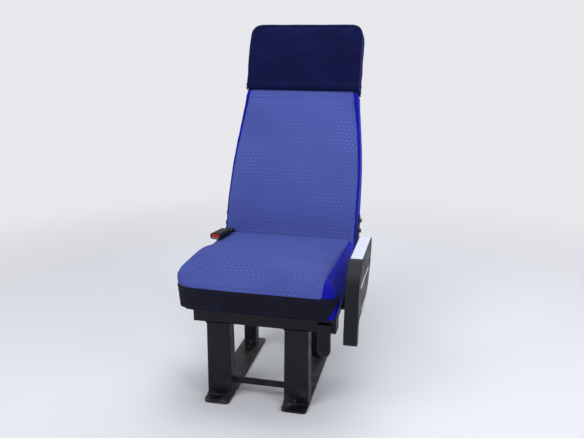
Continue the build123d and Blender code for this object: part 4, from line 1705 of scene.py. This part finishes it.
@dataclass
class Valance(Assembly):
    """Dark cloth band round the front of the cushion, stitched along both edges.

    Attributes:
        low: Height of the lower edge.
        top: Height of the upper edge.
        stitch_in: Distance of the stitches from the edges.
        voxel: Size of the quads.
        ripple: Depth of the cloth's waves.
    """

    low: float = 0.330
    top: float = 0.395
    stitch_in: float = 0.009
    voxel: float = 0.003
    ripple: float = 0.0011

    def rays(self, height: float) -> list[Hit]:
        """Rays that find the line round the front at one height.

        Args:
            height: The height.

        Returns:
            The rays.
        """
        rays = []
        for step in range(121):
            angle = radians(174 + 192 * step / 120)
            outward = Vector((cos(angle), sin(angle), 0))
            middle = Vector((0.185 * max(-1.0, min(1.0, 1.6 * cos(angle))), 0.07, height))
            rays.append((middle + outward * 0.3, -outward))
        return rays

    def build(self) -> None:
        """Make the band and its stitches."""
        body = remeshed(self.own("front_valance"), self.voxel)
        soften(body, 3)
        body.normal_update()
        for vertex in body.verts:
            wave = noise.noise(Vector((vertex.co.x * 14, vertex.co.y * 14, vertex.co.z * 5 + 9.1)))
            vertex.co += vertex.normal * self.ripple * wave
        lines = [self.rays(self.low + self.stitch_in), self.rays(self.top - self.stitch_in)]
        for rays in lines:
            groove(body, trace(body, rays), 0.005, 0.0013)
        refine(body)
        rows = [trace(body, rays) for rays in lines]
        self.make(body, "valance_cloth", Slot.DARK_FABRIC, "front_valance", fill=0.6)
        self.sew("valance_stitches", rows, self.wardrobe.thread, Slot.DARK_FABRIC)


@dataclass
class Armrest(Assembly):
    """Armrest that swings down: grained shell, pale cap, soft front pad and two bright strips.

    Attributes:
        inner: Its cushion side, from the seat's plane.
        outer: Its aisle side.
        strips: Start, end and height of each bright strip.
        pivot: How far back and how high its pin is.
    """

    rides: Body = Body.ARMREST
    inner: float = 0.254
    outer: float = 0.292
    strips: tuple[tuple[float, float, float], ...] = ((0.050, 0.222, 0.421), (0.084, 0.172, 0.343))
    pivot: tuple[float, float] = (0.259, 0.427)

    def on_outline(self, first: Vector, second: Vector) -> bool:
        """Whether an edge lies on the outline of one side, away from the strips and the pin.

        Args:
            first: One end of the edge.
            second: Its other end.

        Returns:
            Whether it does.
        """
        if abs(first.x - second.x) > 1e-5 or min(abs(first.x - self.inner), abs(first.x - self.outer)) > 1e-4:
            return False
        for start, end, height in self.strips:
            if all(start - 0.002 < p.y < end + 0.002 and abs(p.z - height) < 0.004 for p in (first, second)):
                return False
        axle = Vector((first.x, *self.pivot))
        return (first - axle).length > 0.012

    def build(self) -> None:
        """Make every piece of the armrest, and the round cover over its pin."""
        for node, name, slot, width, choose in (
            ("armrest_shell", "armrest_body", Slot.BLACK_PLASTIC, 0.0011, self.on_outline),
            ("armrest_cap", "armrest_top", Slot.GREY_PLASTIC, 0.0012, None),
            ("armrest_pad", "armrest_front_pad", Slot.BLACK_PLASTIC, 0.0015, self.on_outline),
            ("armrest_trim", "armrest_strips", Slot.BRIGHT_STEEL, 0.0004, None),
        ):
            shape = self.own(node)
            rounded(shape, width, 3, choose)
            self.make(shape, name, slot, node, sharp=16)
        profile = [
            (0, -0.0008), (0.0135, -0.0008), (0.0135, 0.0005), (0.0128, 0.0011), (0.0098, 0.0011),
            (0.0092, 0.0004), (0.0052, 0.0004), (0.0047, 0.0009), (0, 0.0010),
        ]
        cover = turned(profile, self.place() @ facing((self.outer, *self.pivot), Axis.X), 40)
        black = self.wardrobe.of(Slot.BLACK_PLASTIC)
        settle(to_object(cover, "armrest_pin_cover", black, sharp=30), self.rides, Slot.BLACK_PLASTIC)


@dataclass
class Buckle(Assembly):
    """Belt buckle: rounded housing, red button and the steel mouth for the tongue.

    Attributes:
        middle: Middle of the housing, from the seat's plane and front edge.
        turn: Its turn on the cushion in degrees.
        length: Length of the housing.
    """

    middle: tuple[float, float, float] = (-0.210, 0.351, 0.4507)
    turn: float = 14.0
    length: float = 0.064

    def place(self) -> Matrix:
        """From the housing's own axes to the model's frame."""
        spin = Matrix.Rotation(radians(-self.turn), 4, "Z")
        return self.home.seat() @ Matrix.Translation(self.middle) @ spin

    def build(self) -> None:
        """Make the buckle and its mouth."""
        for node, name, slot, width in (
            ("buckle", "buckle_housing", Slot.BLACK_PLASTIC, 0.0014),
            ("buckle_button", "buckle_release", Slot.RED_PLASTIC, 0.0011),
        ):
            shape = self.own(node)
            rounded(shape, width, 3, lambda a, b: max(a.y, b.y) < 0.012, sharp=40)
            self.make(shape, name, slot, node, sharp=20)
        front = -self.length / 2
        mouth = box((-0.0125, front - 0.0009, -0.0078), (0.0125, front + 0.002, -0.0036), 0.0006)
        self.make(mouth, "buckle_mouth", Slot.BRIGHT_STEEL, finishes=(self.wardrobe.zinc,), sharp=25)
        slit = box((-0.0105, front - 0.0011, -0.0065), (0.0105, front, -0.0049), 0.0003)
        self.make(slit, "buckle_slit", Slot.BLACK_PLASTIC, sharp=25)


@dataclass
class Underframe(Assembly):
    """Weld beads, tube plugs, springs, screws and the handle of the seat's steel frame.

    Attributes:
        legs: Distance of the legs from the seat's plane.
        front_post: Front and rear faces of the front posts.
        rear_post: Front and rear faces of the rear posts.
        post_half: Half the width of a front post at its foot and at its top.
        rear_half: Half the width of a rear post.
        foot: Top of the foot plates.
        rail: Underside of the cross rails.
        tube: Underside of the cushion frame.
        wall: Side of the frame's square tubes.
        front_tube: Front and rear faces of the front tube.
        rail_end: Ends of the cross rails.
        tube_end: Ends of the front tube.
        springs_x: Places of the springs across the seat.
        wire: Radius of their wire.
        spring_z: Height of the springs.
        spring_turn: Radius of their bends.
        spring_reach: Straight stretch between two bends.
        clip: Half width, length and half height of the springs' clips.
        grips: Heights of the handle's ribs.
    """

    legs: tuple[float, float] = (-0.142, 0.100)
    front_post: tuple[float, float] = (0.102, 0.152)
    rear_post: tuple[float, float] = (0.4377, 0.4777)
    post_half: tuple[float, float] = (0.039, 0.036)
    rear_half: float = 0.022
    foot: float = 0.008
    rail: float = 0.250
    tube: float = 0.305
    wall: float = 0.025
    front_tube: tuple[float, float] = (0.060, 0.085)
    rail_end: float = 0.216
    tube_end: float = 0.222
    springs_x: tuple[float, ...] = (-0.138, -0.046, 0.046, 0.138)
    wire: float = 0.002
    spring_z: float = 0.3175
    spring_turn: float = 0.016
    spring_reach: float = 0.026
    clip: tuple[float, float, float] = (0.007, 0.014, 0.0042)
    grips: tuple[float, ...] = (0.200, 0.208, 0.216, 0.224)

    def build(self) -> None:
        """Make every piece of the frame."""
        self.beads()
        self.plugs()
        self.springs()
        self.handle()
        self.screws()

    def beads(self) -> None:
        """Weld beads at the feet, the rails and the tie bar."""
        shape = bmesh.new()
        posts = ((*self.front_post, *self.post_half), (*self.rear_post, self.rear_half, self.rear_half))
        for leg in self.legs:
            for near, far, foot_half, top_half in posts:
                for half, height in ((foot_half, self.foot), (top_half, self.rail)):
                    ring = [(leg - half, near), (leg + half, near), (leg + half, far), (leg - half, far)]
                    add(shape, weld([Vector((x, y, height)) for x, y in ring], 0.0024))
        for x in (self.legs[0] + 0.0383, self.legs[1] - 0.0383):
            ring = [(0.123, 0.044), (0.131, 0.044), (0.131, 0.062), (0.123, 0.062)]
            add(shape, weld([Vector((x, y, z)) for y, z in ring], 0.0018))
        for side in (-1, 1):
            for y in (*self.front_post, *self.rear_post):
                ends = [Vector((side * x, y, self.tube)) for x in (0.198, self.rail_end - 0.001)]
                add(shape, weld(ends, 0.0022, closed=False))
        self.make(shape, "weld_beads", Slot.PAINT)

    def plug(self, end: float, near: float, far: float, low: float, top: float) -> Shape:
        """Moulded plug in the open end of a tube, on the aisle side.

        Args:
            end: End of the tube.
            near: Front face of the tube.
            far: Rear face of the tube.
            low: Underside of the tube.
            top: Top of the tube.

        Returns:
            The plug.
        """
        cap = box((0, near + 0.0006, low + 0.0006), (0.0022, far - 0.0006, top - 0.0006))
        face = max(cap.faces, key=lambda f: f.normal.x)
        bmesh.ops.inset_region(cap, faces=[face], thickness=0.0045, depth=0.0)
        bmesh.ops.inset_region(cap, faces=[face], thickness=0.001, depth=-0.0010)
        rounded(cap, 0.0006, 2, sharp=60)
        add(cap, box((-0.012, near + 0.003, low + 0.003), (0, far - 0.003, top - 0.003), 0.001))
        cap.transform(Matrix.Translation((end, 0, 0)))
        return cap

    def plugs(self) -> None:
        """Plugs in the open ends of the rails and of the front tube."""
        shape = bmesh.new()
        for side in (-1, 1):
            for end, near, far, low, top in (
                (self.rail_end, *self.front_post, self.rail, self.tube),
                (self.rail_end, *self.rear_post, self.rail, self.tube),
                (self.tube_end, *self.front_tube, self.tube, self.tube + self.wall),
            ):
                cap = self.plug(end, near, far, low, top)
                if side < 0:
                    cap.transform(Matrix.Diagonal((-1, 1, 1, 1)))
                    bmesh.ops.reverse_faces(cap, faces=cap.faces[:])
                add(shape, cap)
        self.make(shape, "tube_plugs", Slot.BLACK_PLASTIC, sharp=25)

    def spring_line(self, x: float) -> list[Vector]:
        """Middle line of one zigzag spring.

        Args:
            x: Its place across the seat.

        Returns:
            Points from the front tube to the rear tube.
        """
        start, end = self.front_tube[1], self.rear_post[1] - self.wall
        turn = self.spring_turn
        bends = int((end - start - 2 * turn) // (2 * turn))
        y = start + (end - start - bends * 2 * turn) / 2
        reach = turn + self.spring_reach / 2
        points = [(x, start), *arc(x + turn, y - turn, turn, 180, 90)]
        side = 1
        for _ in range(bends):
            points += arc(x + side * reach, y + turn, turn, -90, -90 + side * 180)
            y += 2 * turn
            side = -side
        points += [*arc(x - side * turn, y + turn, turn, -90, -90 + side * 90), (x, end)]
        return [Vector((a, b, self.spring_z)) for a, b in points]

    def springs(self) -> None:
        """Round-wire springs, and the clips that hold their ends to the tubes."""
        wires = bmesh.new()
        clips = bmesh.new()
        half, length, thick = self.clip
        for x in self.springs_x:
            line = self.spring_line(x)
            add(wires, tube_along(line, self.wire))
            for y, out in ((line[0].y, 1), (line[-1].y, -1)):
                low = (x - half, min(y, y + out * length), self.spring_z - thick)
                high = (x + half, max(y, y + out * length), self.spring_z + thick)
                add(clips, box(low, high, 0.0016))
                rivet = facing((x, y + out * length / 2, self.spring_z - thick), Axis.Z, flip=True)
                add(clips, turned([(0, 0), (0.003, 0), (0.0026, 0.0012), (0, 0.0016)], rivet, 16))
        self.make(wires, "spring_wires", Slot.SPRING_STEEL, "zigzag_springs")
        self.make(clips, "spring_clips", Slot.SPRING_STEEL, finishes=(self.wardrobe.zinc,), sharp=30)

    def handle(self) -> None:
        """Recline handle with rounded edges and grip ribs."""
        shape = self.own("recline_handle")
        rounded(shape, 0.0018, 3)
        for height in self.grips:
            add(shape, box((0.171, 0.0888, height), (0.197, 0.0912, height + 0.0028), 0.0008))
        self.make(shape, "recline_grip", Slot.BLACK_PLASTIC, "recline_handle", sharp=18)

    def screws(self) -> None:
        """Screws of the side skirts, nuts of the hinge pins and bolts of the hinge arms."""
        fixed = bmesh.new()
        moving = bmesh.new()
        axle = self.place().inverted() @ self.home.pivot
        dome = [
            (0, 0), (0.0046, 0), (0.0046, 0.0007), (0.0036, 0.0021), (0.0016, 0.0026), (0.0012, 0.0014),
            (0, 0.0014),
        ]
        nut = Bolt(0.013, 0.0042, 0.0100)
        for side in (-1, 1):
            for y in (0.112, 0.240, 0.400):
                add(fixed, turned(dome, facing((side * 0.225, y, 0.3175), Axis.X, side < 0), 20))
            add(fixed, nut.shape(facing((side * 0.240, axle.y, axle.z), Axis.X, side < 0), 11.0))
            for height in (0.058, 0.092):
                add(moving, Bolt().shape(facing((side * 0.230, 0.0, height), Axis.X, side < 0), height * 400))
        self.make(fixed, "frame_fasteners", Slot.SPRING_STEEL, sharp=30)
        moving.transform(self.home.back())
        steel = self.wardrobe.of(Slot.SPRING_STEEL)
        settle(to_object(moving, "hinge_bolts", steel, sharp=30), Body.BACKREST, Slot.SPRING_STEEL)


# Studio


@dataclass
class Studio:
    """Pale floor, soft lamps and the camera at the photograph's viewing angle.

    Attributes:
        eye: Place of the camera.
        aim: Point in the middle of the picture.
        pixels_per_unit: Pixels that one metre takes at one metre's distance.
        frame_width: Width of the picture in pixels.
        sensor: Width of the camera's sensor in millimetres.
        pale: Colour of the background.
        lamps: Name, place, side, power in watts and colour of each lamp.
    """

    eye: tuple[float, float, float] = (0.4635, -2.048, 1.11)
    aim: tuple[float, float, float] = (-0.004, 0.0, 0.505)
    pixels_per_unit: float = 670.0
    frame_width: float = 584.0
    sensor: float = 36.0
    pale: Colour = (0.80, 0.81, 0.84, 1.0)
    lamps: tuple[tuple[str, tuple[float, float, float], float, float, tuple[float, float, float]], ...] = (
        ("key", (-1.3, -2.2, 2.6), 1.8, 40.0, (1.0, 0.99, 1.0)),
        ("top", (0.1, -0.1, 2.7), 1.3, 21.0, (1.0, 1.0, 1.0)),
        ("fill", (2.3, -1.2, 1.6), 1.6, 25.0, (0.94, 0.96, 1.0)),
        ("back", (0.4, 2.2, 2.4), 1.6, 24.0, (1.0, 1.0, 1.0)),
    )

    def floor(self) -> None:
        """Pale floor that fades into the background."""
        recipe = Recipe("studio_floor")
        recipe.set(Base_Color=(0.86, 0.87, 0.90, 1.0), Roughness=0.9)
        glow = recipe.node("Emission", Color=self.pale)
        distance = recipe.node("VectorMath")
        distance.operation = "LENGTH"
        recipe.feed(distance.inputs[0], recipe.place())
        far = recipe.stretch(distance.outputs["Value"], 0.9, 2.6, 0.0, 1.0)
        recipe.show(far, recipe.shader.outputs["BSDF"], glow.outputs[0], "OUTPUT_MATERIAL")
        shape = bmesh.new()
        bmesh.ops.create_grid(shape, x_segments=2, y_segments=2, size=30.0)
        to_object(shape, "studio_floor", recipe.material)

    def world(self) -> None:
        """Soft even light from all round, and a pale background for the camera and for reflections."""
        world = bpy.data.worlds.new("studio")
        bpy.context.scene.world = world
        world.use_nodes = True
        tree = Tree(world.node_tree)
        light = tree.nodes["Background"]
        tree.give(light, Color=(0.86, 0.88, 1.0, 1.0), Strength=0.30)
        seen = tree.node("Background", Color=self.pale, Strength=1.0)
        rays = tree.node("LightPath").outputs
        either = tree.math("MAXIMUM", rays["Is Camera Ray"], rays["Is Transmission Ray"])
        share = tree.math("MAXIMUM", either, rays["Is Glossy Ray"])
        tree.show(share, light.outputs[0], seen.outputs[0], "OUTPUT_WORLD")

    def stand(self, name: str, data: bpy.types.ID, place: Sequence[float]) -> bpy.types.Object:
        """Stand a lamp or a camera at a place, so that it points at the seat.

        Args:
            name: Name of the object.
            data: The lamp or camera.
            place: Where it stands.

        Returns:
            The object.
        """
        piece = bpy.data.objects.new(name, data)
        piece.location = place
        piece.rotation_euler = (Vector(self.aim) - Vector(place)).to_track_quat("-Z", "Y").to_euler()
        bpy.context.scene.collection.objects.link(piece)
        return piece

    def build(self) -> None:
        """Set the whole studio up."""
        bpy.context.scene.view_settings.view_transform = "Standard"
        self.floor()
        self.world()
        for name, place, size, power, colour in self.lamps:
            lamp = bpy.data.lights.new(name, "AREA")
            lamp.size = size
            lamp.energy = power
            lamp.color = colour
            self.stand(name, lamp, place)
        camera = bpy.data.cameras.new("camera")
        camera.sensor_width = self.sensor
        camera.lens = self.sensor * self.pixels_per_unit / self.frame_width
        bpy.context.scene.camera = self.stand("camera", camera, self.eye)


def dress_nodes(wardrobe: Wardrobe) -> None:
    """Give every CAD node that still shows the material of its slot.

    Args:
        wardrobe: Finishes.
    """
    slots = {row["node"]: row["material_slot"] for row in frame["record"]["subparts"]}
    for name, node in frame["nodes"].items():
        node.data.materials.clear()
        node.data.materials.append(wardrobe.of(Slot(slots[name])))


def main() -> None:
    """Build the studio and every sub-assembly in order."""
    logging.basicConfig(level=logging.INFO, format="%(message)s")
    home = SeatFrame()
    wardrobe = Wardrobe()
    Studio().build()
    dress_nodes(wardrobe)
    for assembly in (Cushion, Backrest, HeadCover, Valance, Armrest, Buckle, Underframe):
        LOG.info("building the %s", assembly.__name__)
        assembly(home, wardrobe).build()


if __name__ == "__main__":
    main()
